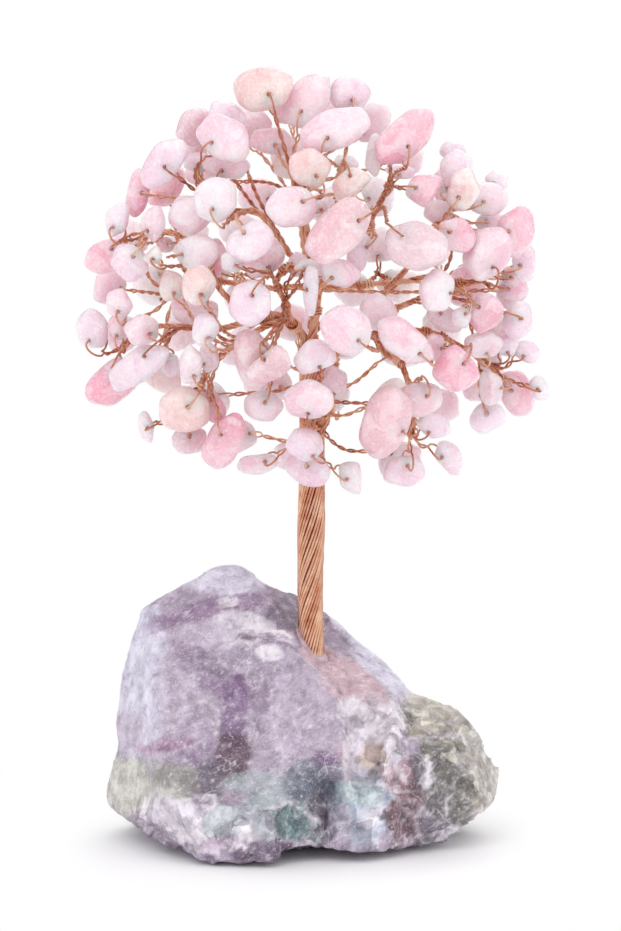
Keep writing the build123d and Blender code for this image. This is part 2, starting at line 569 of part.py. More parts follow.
# Limbs: four bundles that part from each other at the trunk's top
BOLE = [Vector(0, 0, TRUNK_FOOT), Vector(0, 0, TRUNK_TOP)]
carriers = {"bole": (BOLE, TRUNK_DIAMETER)}
for name, (azimuth, route_px) in LIMB_ROUTES_PX.items():
    spot = Vector(cos(radians(azimuth)), sin(radians(azimuth)), 0) * LIMB_SPREAD
    root = spot + Vector(0, 0, TRUNK_TOP + SEAT_GAP)
    points = [root, root + Vector(0, 0, LIMB_RISE)] + route_points(route_px)
    carriers[name] = (points, LIMB_DIAMETER)
    export_step(bundle(points, LIMB_DIAMETER, name), "parts/" + name + ".step")

# Branches: a stem on its limb, the folded wires along the stem, and a chip on each wire
stems = {}
for name, (carrier, distance, route_px) in STEM_ROUTES_PX.items():
    points = route_points(route_px)
    parent, parent_diameter = carriers[carrier]
    root = leave(parent, distance * STEM_PITCH, parent_diameter / 2, points[0], STEM_DIAMETER / 2)
    stems[name] = [root] + points
    export_step(bundle(stems[name], STEM_DIAMETER, name + "_stem"), "parts/" + name + "_stem.step")

chips = {
    name: [Chip(row, number) for number, row in enumerate(rows, start=len(name))]
    for name, rows in CHIPS_PX.items()
}
bundles = [(route, diameter / 2) for route, diameter in carriers.values()]
bundles += [(route, STEM_DIAMETER / 2) for route in stems.values()]
all_chips = [chip for branch in chips.values() for chip in branch]
settle(all_chips, bundles)

for name, branch in chips.items():
    stem = stems[name]
    stem_length = sum((end - start).length for start, end in zip(stem, stem[1:]))
    slots = [TWIG_PITCH * (place + 1 / 2) for place in range(int(stem_length / TWIG_PITCH))]
    wires = []
    solids = []
    for chip in branch:
        slot = nearest_slot(chip, stem, slots, all_chips)
        slots.remove(slot)
        hole, route = twig_route(chip, stem, slot)
        wires.append(wire(route, WIRE_DIAMETER, "twig"))
        solids.append(chip.solid(hole))
    group(wires, name + "_wires")
    group(solids, name + "_chips")
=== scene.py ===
import random
from math import cos, exp, hypot, pi, radians, sin, tau

import bmesh
import bpy
import numpy as np
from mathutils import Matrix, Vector, noise
from mathutils.bvhtree import BVHTree


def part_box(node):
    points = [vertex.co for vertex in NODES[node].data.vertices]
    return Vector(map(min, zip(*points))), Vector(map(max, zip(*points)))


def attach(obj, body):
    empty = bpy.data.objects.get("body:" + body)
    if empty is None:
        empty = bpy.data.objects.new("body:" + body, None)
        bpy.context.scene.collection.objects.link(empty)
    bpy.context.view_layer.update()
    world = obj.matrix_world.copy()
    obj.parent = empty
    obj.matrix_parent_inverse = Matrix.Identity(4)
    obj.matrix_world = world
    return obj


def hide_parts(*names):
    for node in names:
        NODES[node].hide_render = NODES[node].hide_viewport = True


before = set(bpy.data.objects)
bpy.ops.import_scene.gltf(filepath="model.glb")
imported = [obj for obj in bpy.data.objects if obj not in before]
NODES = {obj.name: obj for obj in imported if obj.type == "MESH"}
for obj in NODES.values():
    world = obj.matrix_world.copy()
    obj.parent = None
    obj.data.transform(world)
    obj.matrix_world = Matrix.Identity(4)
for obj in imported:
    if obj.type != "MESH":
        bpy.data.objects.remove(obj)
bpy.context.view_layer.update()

MM = 0.001
BRANCHES = sorted(name[:-6] for name in NODES if name.endswith("_chips"))
LIMBS = sorted(name for name in NODES if name.endswith("_limb"))

# Picture frame, as the model was measured: the trunk's axis is a column and the resting point is a row.
AXIS_PX = 312
REST_PX = 842
TOP_PX = 66
PICTURE_WIDTH_PX = 621
PICTURE_HEIGHT_PX = 931
TREE_HEIGHT = 140 * MM
VIEW_DISTANCE = 900 * MM
VIEW_TILT = radians(8)
PICTURE_SCALE = TREE_HEIGHT / (REST_PX - TOP_PX)
VIEW_CENTRE_PX = PICTURE_HEIGHT_PX / 2
VIEW_CENTRE = Vector((0, 0, (REST_PX - VIEW_CENTRE_PX) * PICTURE_SCALE / cos(VIEW_TILT)))
VIEW_WAY = Vector((0, cos(VIEW_TILT), -sin(VIEW_TILT)))
VIEW_UP = Vector((0, sin(VIEW_TILT), cos(VIEW_TILT)))

# Wires
WIRE_RADIUS = 0.225 * MM
TWIG_RADIUS = 0.185 * MM
STRAND_RADIUS = 0.245 * MM
TWIG_LAY = 4.2 * MM
STEM_LAY = 5.0 * MM
LIMB_LAY = 8.0 * MM
TRUNK_LAY = 34 * MM
STEM_STRANDS = 5
LIMB_STRANDS = 9
TRUNK_STRANDS = 24
TRUNK_RADIUS = 2.3 * MM
BEND_RISE = 0.75 * MM
HOLE_RADIUS = 0.42 * MM

# How the CAD draws them: sides of a limb's or stem's bar, and of a twig wire
BAR_SIDES = 6
WIRE_SIDES = 3


def srgb(red, green, blue):
    """Linear colour of an eight-bit sRGB one."""
    return tuple((value / 255 / 12.92 if value < 10 else ((value / 255 + 0.055) / 1.055) ** 2.4)
                 for value in (red, green, blue))


def rgba(red, green, blue):
    return (*srgb(red, green, blue), 1)


def to_picture(places):
    """Picture places of many points at once, in pixels."""
    offset = places - np.array(VIEW_CENTRE)
    shrink = VIEW_DISTANCE / (VIEW_DISTANCE + offset @ np.array(VIEW_WAY))
    return np.stack([AXIS_PX + offset[:, 0] * shrink / PICTURE_SCALE,
                     VIEW_CENTRE_PX - (offset @ np.array(VIEW_UP)) * shrink / PICTURE_SCALE], axis=1)


def eased(share):
    """A share that starts and ends gently."""
    return share * share * (3 - 2 * share)


def bump(value, middle, width):
    """A rounded bump: 1 in its middle, and next to nothing two widths away."""
    return exp(-((value - middle) / width) ** 2)


def any_way(dice, rise=1):
    """A drawn direction, not yet of unit length."""
    return Vector((dice.gauss(0, 1), dice.gauss(0, 1), dice.gauss(0, rise)))


def any_seed(dice):
    """A drawn place in the noise."""
    return Vector((dice.uniform(0, 50), dice.uniform(0, 50), dice.uniform(0, 50)))


# Shapes read from the frame

# Vertices nearer than this are one, and faces that meet at a smaller angle are one flat face
WELD_DISTANCE = 1e-7
FLAT_ANGLE = 1e-3


def beyond(verts, seen):
    """Neighbours of these vertices that weren't seen yet. They count as seen from here on."""
    found = []
    for vert in verts:
        for edge in vert.link_edges:
            other = edge.other_vert(vert)
            if other not in seen:
                seen.add(other)
                found.append(other)
    return found


def loose_parts(node):
    """The mesh of a CAD node with its flat faces whole, and the vertices of each of its solids."""
    whole = bmesh.new()
    whole.from_mesh(NODES[node].data)
    bmesh.ops.remove_doubles(whole, verts=whole.verts, dist=WELD_DISTANCE)
    bmesh.ops.dissolve_limit(whole, angle_limit=FLAT_ANGLE, verts=whole.verts, edges=whole.edges)
    parts = []
    seen = set()
    for start in whole.verts:
        if start in seen:
            continue
        seen.add(start)
        stack = [start]
        cluster = []
        while stack:
            vert = stack.pop()
            cluster.append(vert)
            stack.extend(beyond([vert], seen))
        parts.append(cluster)
    return whole, parts


def stations(cluster, sides):
    """Centre of each ring of vertices along a swept bar, from one end cap to the other."""
    caps = [face for vert in cluster for face in vert.link_faces if len(face.verts) == sides]
    ring = list(caps[0].verts)
    seen = set(ring)
    centres = []
    while ring:
        centres.append(sum((vert.co for vert in ring), Vector()) / len(ring))
        ring = beyond(ring, seen)
    return centres


def bar_route(node, near):
    """Centreline of a limb's or stem's bar, starting at the end that lies nearer to the given points."""
    whole, parts = loose_parts(node)
    route = stations(parts[0], BAR_SIDES)
    whole.free()

    def away(end):
        return min((end - point).length for point in near)

    return route if away(route[0]) <= away(route[-1]) else route[::-1]


# Curves

def curve_points(controls, step):
    """Evenly spaced points along a smooth curve through the control points."""
    ends = [controls[0] * 2 - controls[1]] + list(controls) + [controls[-1] * 2 - controls[-2]]
    fine = []
    for before, start, end, after in zip(ends, ends[1:], ends[2:], ends[3:]):
        count = max(4, int((end - start).length / step * 2))
        for number in range(count):
            t = number / count
            fine.append(0.5 * (2 * start + (end - before) * t
                               + (2 * before - 5 * start + 4 * end - after) * t * t
                               + (3 * start - before - 3 * end + after) * t ** 3))
    fine.append(controls[-1].copy())
    return even(fine, step)


def even(points, step):
    """The same line with points an even distance apart."""
    places = np.array(points)
    spans = np.linalg.norm(np.diff(places, axis=0), axis=1)
    run = np.concatenate(([0], np.cumsum(spans)))
    count = max(2, int(round(run[-1] / step)) + 1)
    wanted = np.linspace(0, run[-1], count)
    rows = np.stack([np.interp(wanted, run, places[:, axis]) for axis in range(3)], axis=1)
    return [Vector(row) for row in rows]


def bezier(start, first, second, end, step):
    count = max(6, int(((first - start).length + (second - first).length + (end - second).length) / step))
    points = []
    for number in range(count + 1):
        t = number / count
        u = 1 - t
        points.append(start * u ** 3 + first * 3 * u * u * t + second * 3 * u * t * t + end * t ** 3)
    return points


def length_of(points):
    return sum((end - start).length for start, end in zip(points, points[1:]))


def point_at(points, distance):
    """Point and direction at a distance along a line."""
    for start, end in zip(points, points[1:]):
        span = (end - start).length
        if distance <= span or end is points[-1]:
            return start + (end - start) * min(distance / span, 1), (end - start).normalized()
        distance -= span


def nearest_run(points, target):
    """Distance along a line to its point nearest the target."""
    best = None
    run = 0
    for start, end in zip(points, points[1:]):
        span = (end - start).length
        share = min(max((target - start).dot(end - start) / span ** 2, 0), 1)
        gap = (start + (end - start) * share - target).length
        if best is None or gap < best[0]:
            best = (gap, run + share * span)
        run += span
    return best[1]


def frames(points, side=None):
    """Two vectors across a line at each of its points, carried along it without a twist."""
    last = len(points) - 1
    tangents = [(points[min(i + 1, last)] - points[max(i - 1, 0)]).normalized() for i in range(last + 1)]
    side = side or tangents[0].orthogonal()
    pairs = []
    for tangent in tangents:
        side = (side - tangent * side.dot(tangent)).normalized()
        pairs.append((side, tangent.cross(side)))
    return pairs


def around(pair, turn, reach):
    """Offset from a line, at this angle round it."""
    return (pair[0] * cos(turn) + pair[1] * sin(turn)) * reach


def laid(points, radii, lay, phase):
    """A strand that winds round a line, at the distance from it that is given for each point."""
    run = 0
    strand = []
    for i, pair in enumerate(frames(points)):
        if i:
            run += (points[i] - points[i - 1]).length
        strand.append(points[i] + around(pair, phase + tau * run / lay, radii[i]))
    return strand


class Heap:
    """Vertices and faces gathered for one mesh."""

    def __init__(self):
        self.places = []
        self.faces = []
        self.values = []

    def rings(self, places, sides, tone_and_shade=0.5):
        """A skin over a row of rings, closed at both ends."""
        base = len(self.places)
        last = base + len(places) - sides
        for start in range(base, last, sides):
            for number in range(sides):
                this, after = start + number, start + (number + 1) % sides
                self.faces.append((this, after, after + sides, this + sides))
        self.faces.append(tuple(range(base, base + sides))[::-1])
        self.faces.append(tuple(range(last, last + sides)))
        self.places.extend(places)
        self.values.extend([tone_and_shade] * len(places))

    def tube(self, points, radius, sides=7, tone_and_shade=0.5):
        """A round wire along a line. Its radius is one number, or one for each point."""
        places = []
        for i, pair in enumerate(frames(points)):
            width = radius[i] if hasattr(radius, "__len__") else radius
            places.extend(points[i] + around(pair, tau * number / sides, width) for number in range(sides))
        self.rings(places, sides, tone_and_shade)

    def mesh(self, name):
        return new_mesh(name, [tuple(place) for place in self.places], self.faces)

    def piece(self, name, material, slot, node):
        mesh = self.mesh(name)
        mesh.attributes.new("tone_and_shade", "FLOAT", "POINT").data.foreach_set("value", self.values)
        mesh.validate()
        dress(name, mesh, material, node)


def new_mesh(name, places, faces):
    mesh = bpy.data.meshes.new(name)
    mesh.from_pydata(places, [], faces)
    return mesh


def in_scene(name, data):
    made = bpy.data.objects.new(name, data)
    bpy.context.scene.collection.objects.link(made)
    return made


def modified(piece):
    """The mesh that an object's modifiers give."""
    return bpy.data.meshes.new_from_object(piece.evaluated_get(bpy.context.evaluated_depsgraph_get()))


def dress(name, mesh, material, node):
    """Put a mesh in the scene as the piece of the tree that takes a CAD node's place."""
    piece = in_scene(name, mesh)
    mesh.materials.append(material)
    mesh.polygons.foreach_set("use_smooth", [True] * len(mesh.polygons))
    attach(piece, "root")
    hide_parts(node)


# Materials

class Graph:
    """The nodes of a material or a world, and short ways to add to them."""

    def __init__(self, owner):
        owner.use_nodes = True
        self.tree = owner.node_tree

    def put(self, value, socket):
        """Link another node's output to a socket, or set the socket to a plain value."""
        if hasattr(value, "links"):
            self.tree.links.new(value, socket)
        else:
            socket.default_value = value

    def node(self, kind, *values, **settings):
        """A new node: its options and named sockets are set first, then its first sockets in their order."""
        made = self.tree.nodes.new(kind)
        for key, value in settings.items():
            if key in made.inputs:
                self.put(value, made.inputs[key])
            else:
                setattr(made, key, value)
        for value, socket in zip(values, made.inputs):
            self.put(value, socket)
        return made

    def number(self, operation, *values):
        return self.node("ShaderNodeMath", *values, operation=operation).outputs["Value"]

    def vector(self, operation, *values):
        return self.node("ShaderNodeVectorMath", *values, operation=operation).outputs

    def spread(self, source, low, high, to_low, to_high, **settings):
        """A value carried from one range to another and held within it."""
        made = self.node("ShaderNodeMapRange", source, low, high, to_low, to_high, **settings)
        return made.outputs["Result"]

    def blend(self, share, first, second, mode="MIX"):
        made = self.node("ShaderNodeMix", data_type="RGBA", blend_type=mode)
        for number, value in ((0, share), (6, first), (7, second)):
            self.put(value, made.inputs[number])
        return made.outputs[2]


class Coat(Graph):
    """The nodes of a piece's material, with its shader and the place on the piece."""

    def __init__(self, name):
        self.material = bpy.data.materials.new(name)
        super().__init__(self.material)
        self.shader = self.tree.nodes["Principled BSDF"]
        self.place = self.node("ShaderNodeTexCoord").outputs["Object"]

    def stored(self, name, output):
        """A value that the mesh holds for each of its points."""
        return self.node("ShaderNodeAttribute", attribute_name=name).outputs[output]

    def noise_at(self, size, detail, roughness=0.5, distortion=0.0):
        """Noise whose features are about this size."""
        return self.node("ShaderNodeTexNoise", Vector=self.place, Scale=1 / size, Detail=detail,
                         Roughness=roughness, Distortion=distortion).outputs["Fac"]

    def layered(self, under, layers):
        """Colours laid over one another: a noise, its range, the share at both ends, colour and mode."""
        for source, (low, high), (at_low, at_high), colour, mode in layers:
            under = self.blend(self.spread(source, low, high, at_low, at_high), under, rgba(*colour), mode)
        return under

    def relief(self, source, strength, height):
        bumps = self.node("ShaderNodeBump", Height=source, Strength=strength, Distance=height)
        self.put(bumps.outputs["Normal"], self.shader.inputs["Normal"])

    def done(self, sockets):
        """The material, once these sockets of its shader are filled."""
        for name, value in sockets.items():
            self.put(value, self.shader.inputs[name])
        return self.material


def quartz_material():
    """Tumbled rose quartz: milky, softly clouded with whiter flaws deep inside, softly polished."""
    coat = Coat("rose_quartz")
    cloud = coat.noise_at(3.6 * MM, 2.0, 0.45, 0.5)
    flaw = coat.noise_at(2.2 * MM, 2.0, 0.5, 0.9)
    grain = coat.noise_at(0.5 * MM, 3.0, 0.6)
    colour = coat.layered(coat.stored("tone", "Color"), (
        (cloud, (0.46, 0.8), (0.0, 0.7), (255, 246, 246), "MIX"),
        (flaw, (0.6, 0.8), (0.0, 0.35), (255, 251, 251), "MIX"),
        (flaw, (0.22, 0.42), (0.3, 0.0), (246, 196, 208), "MULTIPLY"),
        (grain, (0.5, 0.72), (0.0, 0.45), (255, 252, 252), "MIX"),
        (grain, (0.3, 0.47), (0.3, 0.0), (244, 205, 214), "MULTIPLY"),
    ))
    coat.relief(coat.noise_at(1.6 * MM, 1.0), 0.1, 0.2 * MM)
    return coat.done({
        "Base Color": colour, "Roughness": coat.spread(cloud, 0.3, 0.7, 0.2, 0.34), "IOR": 1.5,
        "Subsurface Weight": 0.9, "Subsurface Radius": (1.0, 0.6, 0.66), "Subsurface Scale": 4.5 * MM,
        "Transmission Weight": 0.08,
    })


# Colours of the copper, from its darkest patches to its lightest. The darkest also colour the cores of the
# bundles as painted shade in the grooves between the strands
COPPER_TONES = ((0.15, (82, 36, 26)), (0.45, (140, 78, 58)), (0.72, (210, 140, 108)), (1.0, (247, 206, 178)))


def copper_material():
    """Drawn copper wire, a little darker and browner in patches."""
    coat = Coat("copper_wire")
    patch = coat.noise_at(2.4 * MM, 4.0, 0.6)
    # The stored value is each wire's own tone, and in the bundles' cores painted shade for the grooves
    # between the strands
    level = coat.number("MULTIPLY_ADD", patch, 0.7, coat.stored("tone_and_shade", "Fac"))
    colour = coat.node("ShaderNodeValToRGB", Fac=level)
    stops = colour.color_ramp.elements
    while len(stops) < len(COPPER_TONES):
        stops.new(1.0)
    for stop, (position, tone) in zip(stops, COPPER_TONES):
        stop.position = position
        stop.color = rgba(*tone)
    coat.relief(coat.noise_at(0.4 * MM, 3.0), 0.15, 0.1 * MM)
    return coat.done({
        "Base Color": colour.outputs["Color"], "Roughness": coat.spread(patch, 0.3, 0.7, 0.22, 0.4),
        "Metallic": 0.9,
    })


# The stone's surface: distance between fracture threads, how far they wander as a share of the noise that
# bends them, and size of the broken faces that only tilt the surface
THREAD_SIZE = 5.5 * MM
THREAD_BEND = 0.0022
FACE_SIZE = 2.4 * MM
FACE_STRETCH = (1.0, 1.0, 0.55)
FACE_TURN = (0.5, 0.35, 0.6)


def stone_material():
    """Raw banded stone: coloured zones, white fracture threads, sugary grain and glassy faces."""
    coat = Coat("raw_stone")
    gloss = coat.stored("gloss", "Fac")
    mottle = coat.noise_at(2.2 * MM, 9.0, 0.72)
    grain = coat.noise_at(0.4 * MM, 5.0, 0.75)
    specked = coat.layered(coat.stored("tone", "Color"), (
        (mottle, (0.32, 0.52), (0.5, 0.0), (122, 108, 126), "MULTIPLY"),
        (mottle, (0.54, 0.74), (0.0, 0.5), (250, 246, 250), "MIX"),
        (grain, (0.56, 0.66), (0.0, 0.5), (252, 248, 252), "MIX"),
        (grain, (0.32, 0.42), (0.42, 0.0), (110, 96, 112), "MULTIPLY"),
    ))
    bend = coat.node("ShaderNodeTexNoise", Vector=coat.place, Scale=1 / (2 * MM), Detail=6.0)
    bent = coat.blend(THREAD_BEND, coat.place, bend.outputs["Color"])
    crack = coat.node("ShaderNodeTexVoronoi", feature="DISTANCE_TO_EDGE", Vector=bent, Scale=1 / THREAD_SIZE)
    thread = coat.spread(crack.outputs["Distance"], 0.0, 0.022, 0.4, 0.0)
    some = coat.number("MULTIPLY", thread, coat.spread(coat.noise_at(6 * MM, 3.0), 0.52, 0.62, 0.0, 1.0))
    stretched = coat.node("ShaderNodeMapping", Vector=coat.place, Rotation=FACE_TURN,
                          Scale=FACE_STRETCH).outputs["Vector"]
    cell = coat.node("ShaderNodeTexVoronoi", Vector=stretched, Scale=1 / FACE_SIZE).outputs
    by_face = coat.number("MULTIPLY", coat.spread(cell["Color"], 0.2, 0.8, 0.0, 0.6), gloss)
    faced_tone = coat.blend(by_face, specked, rgba(150, 138, 150), "MULTIPLY")
    threaded = coat.blend(some, faced_tone, rgba(250, 246, 250))
    richer = coat.node("ShaderNodeHueSaturation", Color=threaded, Saturation=1.18, Value=1.16)
    # Each cell tilts its own way: its random colour leans the plane that rises across it
    across = coat.vector("SUBTRACT", stretched, cell["Position"])["Vector"]
    lean = coat.vector("SUBTRACT", cell["Color"], (0.5, 0.5, 0.5))["Vector"]
    faced = coat.number("MULTIPLY", coat.vector("DOT_PRODUCT", across, lean)["Value"], gloss)
    pits = coat.spread(gloss, 0.3, 0.9, 0.42 * MM, 0.16 * MM)
    coat.relief(coat.number("MULTIPLY_ADD", coat.noise_at(0.6 * MM, 8.0, 0.75), pits, faced), 1.0, 1.0)
    return coat.done({
        "Base Color": richer.outputs["Color"], "Roughness": coat.spread(gloss, 0.0, 1.0, 0.6, 0.2),
        "IOR": 1.43, "Subsurface Weight": 0.2, "Subsurface Radius": (1.0, 0.9, 1.0),
        "Subsurface Scale": 1.2 * MM,
    })


def adhesive_material():
    """Cured clear adhesive, tinted by the stone below it."""
    coat = Coat("adhesive")
    cloud = coat.noise_at(1.4 * MM, 3.0)
    share = coat.spread(cloud, 0.3, 0.7, 0.0, 1.0)
    return coat.done({
        "Base Color": coat.blend(share, rgba(150, 126, 138), rgba(206, 182, 190)),
        "Roughness": coat.spread(cloud, 0.3, 0.7, 0.14, 0.32), "IOR": 1.5,
    })


QUARTZ = quartz_material()
COPPER = copper_material()
STONE = stone_material()
ADHESIVE = adhesive_material()


# Twigs and chips, read from the frame

def twigs_of(branch):
    """Each folded wire of a branch: root, neck, hole, chip normal and half thickness over the hole."""
    whole, parts = loose_parts(branch + "_wires")
    twigs = []
    for cluster in parts:
        root_a, neck_a, over, under, neck_b, root_b = stations(cluster, WIRE_SIDES)
        reach = over - under
        twigs.append({
            "root": (root_a + root_b) / 2,
            "neck": (neck_a + neck_b) / 2,
            "side": (neck_a - neck_b).normalized(),
            "hole": (over + under) / 2,
            "normal": reach.normalized(),
            "half": reach.length / 2 - BEND_RISE,
        })
    whole.free()
    return twigs


# Faces whose normals are nearer than this, as a cosine, are one face of a chip
SAME_FACE = 0.999


def hulls_of(branch):
    """Each chip of a branch as its corner points, its distinct flat faces and its middle."""
    whole, parts = loose_parts(branch + "_chips")
    chips = []
    for cluster in parts:
        hull = bmesh.new()
        for vert in cluster:
            hull.verts.new(vert.co)
        bmesh.ops.convex_hull(hull, input=hull.verts)
        hull.normal_update()
        corners = [vert.co.copy() for vert in hull.verts if vert.link_faces]
        planes = []
        for face in hull.faces:
            if all(face.normal.dot(other) < SAME_FACE for other, point in planes):
                planes.append((face.normal.copy(), face.verts[0].co.copy()))
        hull.free()
        low = Vector([min(corner[i] for corner in corners) for i in range(3)])
        high = Vector([max(corner[i] for corner in corners) for i in range(3)])
        chips.append({"corners": corners, "planes": planes, "centre": (low + high) / 2})
    whole.free()
    return chips


def match(twigs, chips):
    """Give each twig its chip: the one whose middle lies nearest its hole."""

    def apart(twig, chip):
        return (chip["centre"] - twig["hole"]).length

    free = list(chips)
    for twig in sorted(twigs, key=lambda twig: min(apart(twig, chip) for chip in chips)):
        chip = min(free, key=lambda chip: apart(twig, chip))
        free.remove(chip)
        twig["chip"] = chip


def chip_axes(twig):
    """Middle of the chip, its three axes and its half sizes along them."""
    normal = twig["normal"]
    corners = np.array(twig["chip"]["corners"])
    flat = corners - np.outer(corners @ np.array(normal), np.array(normal))
    flat -= flat.mean(axis=0)
    long_way = Vector(np.linalg.svd(flat)[2][0])
    long_way = (long_way - normal * long_way.dot(normal)).normalized()
    axes = [long_way, normal.cross(long_way), normal]
    centre = Vector()
    halves = []
    for axis in axes:
        reach = corners @ np.array(axis)
        centre += axis * float(reach.max() + reach.min()) / 2
        halves.append(float(reach.max() - reach.min()) / 2)
    return centre, axes, halves


# Chips

# Main and second colour of each kind of chip
TONES = {
    "pink": ((247, 222, 229), (243, 206, 218)),
    "deep": ((243, 202, 213), (238, 176, 193)),
    "lilac": ((245, 224, 236), (244, 213, 226)),
    "peach": ((240, 220, 215), (235, 202, 201)),
    "white": ((248, 233, 238), (246, 221, 230)),
    "salmon": ((236, 207, 212), (230, 191, 200)),
    "grey": ((231, 209, 215), (228, 198, 207)),
    "clear": ((246, 231, 239), (240, 218, 230)),
}
# Picture places of the chips of each tone
TONE_PLACES_PX = {
    "peach": ((264, 89), (310, 168), (152, 255), (198, 285), (172, 286), (352, 187), (463, 190), (183, 410)),
    "pink": ((308, 101), (334, 130), (224, 138), (272, 141), (226, 166), (191, 214), (152, 223), (263, 259),
             (291, 207), (194, 311), (339, 273), (346, 163), (438, 212), (487, 254), (445, 318), (345, 329),
             (378, 312), (405, 341), (482, 345), (491, 388), (420, 400), (308, 400), (262, 406), (257, 464),
             (191, 366), (209, 357), (119, 303), (142, 330)),
    "lilac": ((350, 95), (226, 116), (163, 163), (198, 162), (117, 219), (130, 263), (250, 242), (205, 330),
              (250, 304), (298, 265), (311, 292), (359, 253), (400, 172), (453, 152), (456, 170), (443, 183),
              (524, 262), (519, 320), (527, 352), (508, 346), (434, 426), (449, 458), (404, 471), (304, 445),
              (307, 469), (146, 427), (138, 366)),
    "deep": ((138, 193), (107, 256), (214, 258), (424, 190), (457, 236), (515, 232), (511, 276), (513, 290),
             (484, 312), (433, 347), (456, 370), (517, 393), (224, 440), (213, 407), (112, 383), (117, 328),
             (406, 137)),
    "salmon": ((195, 151), (165, 245), (338, 232), (386, 422), (254, 360), (268, 366)),
    "grey": ((196, 126), (415, 246), (333, 383), (190, 440)),
    "white": ((215, 200), (197, 253), (316, 267), (374, 155), (487, 199), (490, 222), (437, 291), (461, 318),
              (315, 356), (353, 478)),
    "clear": ((232, 262), (497, 181), (491, 360), (539, 388), (488, 418), (170, 365), (93, 329)),
}
TONE_REACH_PX = 16
CHIP_SMALL = 3.6 * MM
# Chips come from a ball whose faces are finer for a large chip
BALL_LEVEL = 4
BALL_LEVEL_LARGE = 5
# Picture tones count for chips nearer the front than this. The others draw theirs
FRONT_DEPTH = 2 * MM
OTHER_TONES = ("pink", "pink", "lilac", "deep", "white", "peach", "salmon", "grey")
# Ranges for one chip: how far its CAD faces cut in, how deep its worn flats do, how crisp both are, and how
# square the body is, from 2 for an ellipsoid
FACE_SHARES = (1.08, 1.22)
FLAT_SHARES = (0.86, 0.98)
FLAT_COUNT = 3
CRISPNESS = (7.0, 12.0)
FULLNESS = (2.5, 3.4)
FULLNESS_DEEP = 2.2
# No face cuts nearer the middle than this share of the smallest half size
LEAST_CUT_SHARE = 0.62
# Dents: how close together, in chip directions, and how deep
DENTS = ((1.1, 0.08), (2.4, 0.015))
SIZE_OVER_CAD = 1.01


def ball(level):
    """Directions and faces of a finely divided icosahedron."""
    made = bmesh.new()
    bmesh.ops.create_icosphere(made, subdivisions=level, radius=1)
    places = np.array([vert.co for vert in made.verts])
    faces = [tuple(vert.index for vert in face.verts) for face in made.faces]
    made.free()
    return places, faces


BALLS = {False: ball(BALL_LEVEL), True: ball(BALL_LEVEL_LARGE)}


def tone_of(centre, dice):
    """Tone of the chip that the picture shows at this place, or a drawn one where it shows none."""
    x_px, y_px = to_picture(np.array([centre]))[0]
    gap, near = min((hypot(x_px - x, y_px - y), tone)
                    for tone, places in TONE_PLACES_PX.items() for x, y in places)
    if centre.y < FRONT_DEPTH and gap < TONE_REACH_PX:
        return near
    return dice.choice(OTHER_TONES)


def pebble(twig, dice):
    """A tumbled chip: a full rounded body of its CAD solid's size, with worn flats and shallow dents."""
    centre, axes, halves = chip_axes(twig)
    ways, faces = BALLS[max(halves) > CHIP_SMALL]
    frame_axes = np.array(axes)
    reach = (ways * np.array(halves)) @ frame_axes
    corners = np.array(twig["chip"]["corners"]) - np.array(centre)
    planes = [(np.array(normal), float((point - centre).dot(normal)) * dice.uniform(*FACE_SHARES))
              for normal, point in twig["chip"]["planes"]]
    for _ in range(FLAT_COUNT):
        flat = np.array(any_way(dice).normalized())
        planes.append((flat, float((corners @ flat).max()) * dice.uniform(*FLAT_SHARES)))
    least = LEAST_CUT_SHARE * min(halves)
    crisp = dice.uniform(*CRISPNESS)
    full = dice.uniform(*FULLNESS)
    across = np.abs(ways)
    body = (across[:, 0] ** full + across[:, 1] ** full + across[:, 2] ** FULLNESS_DEEP) ** (1 / full)
    total = body ** crisp
    for normal, distance in planes:
        total += np.clip(reach @ normal / max(distance, least), 0, None) ** crisp
    share = total ** (-1 / crisp)
    seed = any_seed(dice)
    dent = np.array([sum(noise.noise(Vector(way) * pace + seed) * depth for pace, depth in DENTS)
                     for way in ways])
    local = (reach * (share * (1 + dent))[:, None]) @ frame_axes.T
    fit = [halves[i] * 2 / float(local[:, i].max() - local[:, i].min()) for i in range(3)]
    middle = (local.max(axis=0) + local.min(axis=0)) / 2
    local = (local - middle) * np.array(fit) * SIZE_OVER_CAD
    places = local @ frame_axes + np.array(centre)
    return new_mesh("chip", places.tolist(), faces), centre, axes, halves


# The drill stands out of the chip by this at each side
DRILL_OVERRUN = 3 * MM
DRILL_SIDES = 14


def drill(mesh, twig):
    """Drill the chip right through."""
    heap = Heap()
    reach = twig["half"] + DRILL_OVERRUN
    line = [twig["hole"] + twig["normal"] * reach * share for share in (-1, -0.5, 0, 0.5, 1)]
    heap.tube(line, HOLE_RADIUS, sides=DRILL_SIDES)
    chip = in_scene("chip", mesh)
    cutter = in_scene("cutter", heap.mesh("cutter"))
    cut = chip.modifiers.new("hole", "BOOLEAN")
    cut.operation = "DIFFERENCE"
    cut.solver = "EXACT"
    cut.object = cutter
    drilled = modified(chip)
    for made in (chip, cutter):
        bpy.data.objects.remove(made)
    return drilled


# Painted light: chips grow paler towards the back of the crown, lightening the shade that falls on them
# there. They start this far before the middle of the crown, pale over this depth, by this share at most
PAINTED_LIGHT_START = 6 * MM
PAINTED_LIGHT_DEPTH = 30 * MM
PAINTED_LIGHT_SHARE = 0.45
LIFTS = (0.95, 1.03)


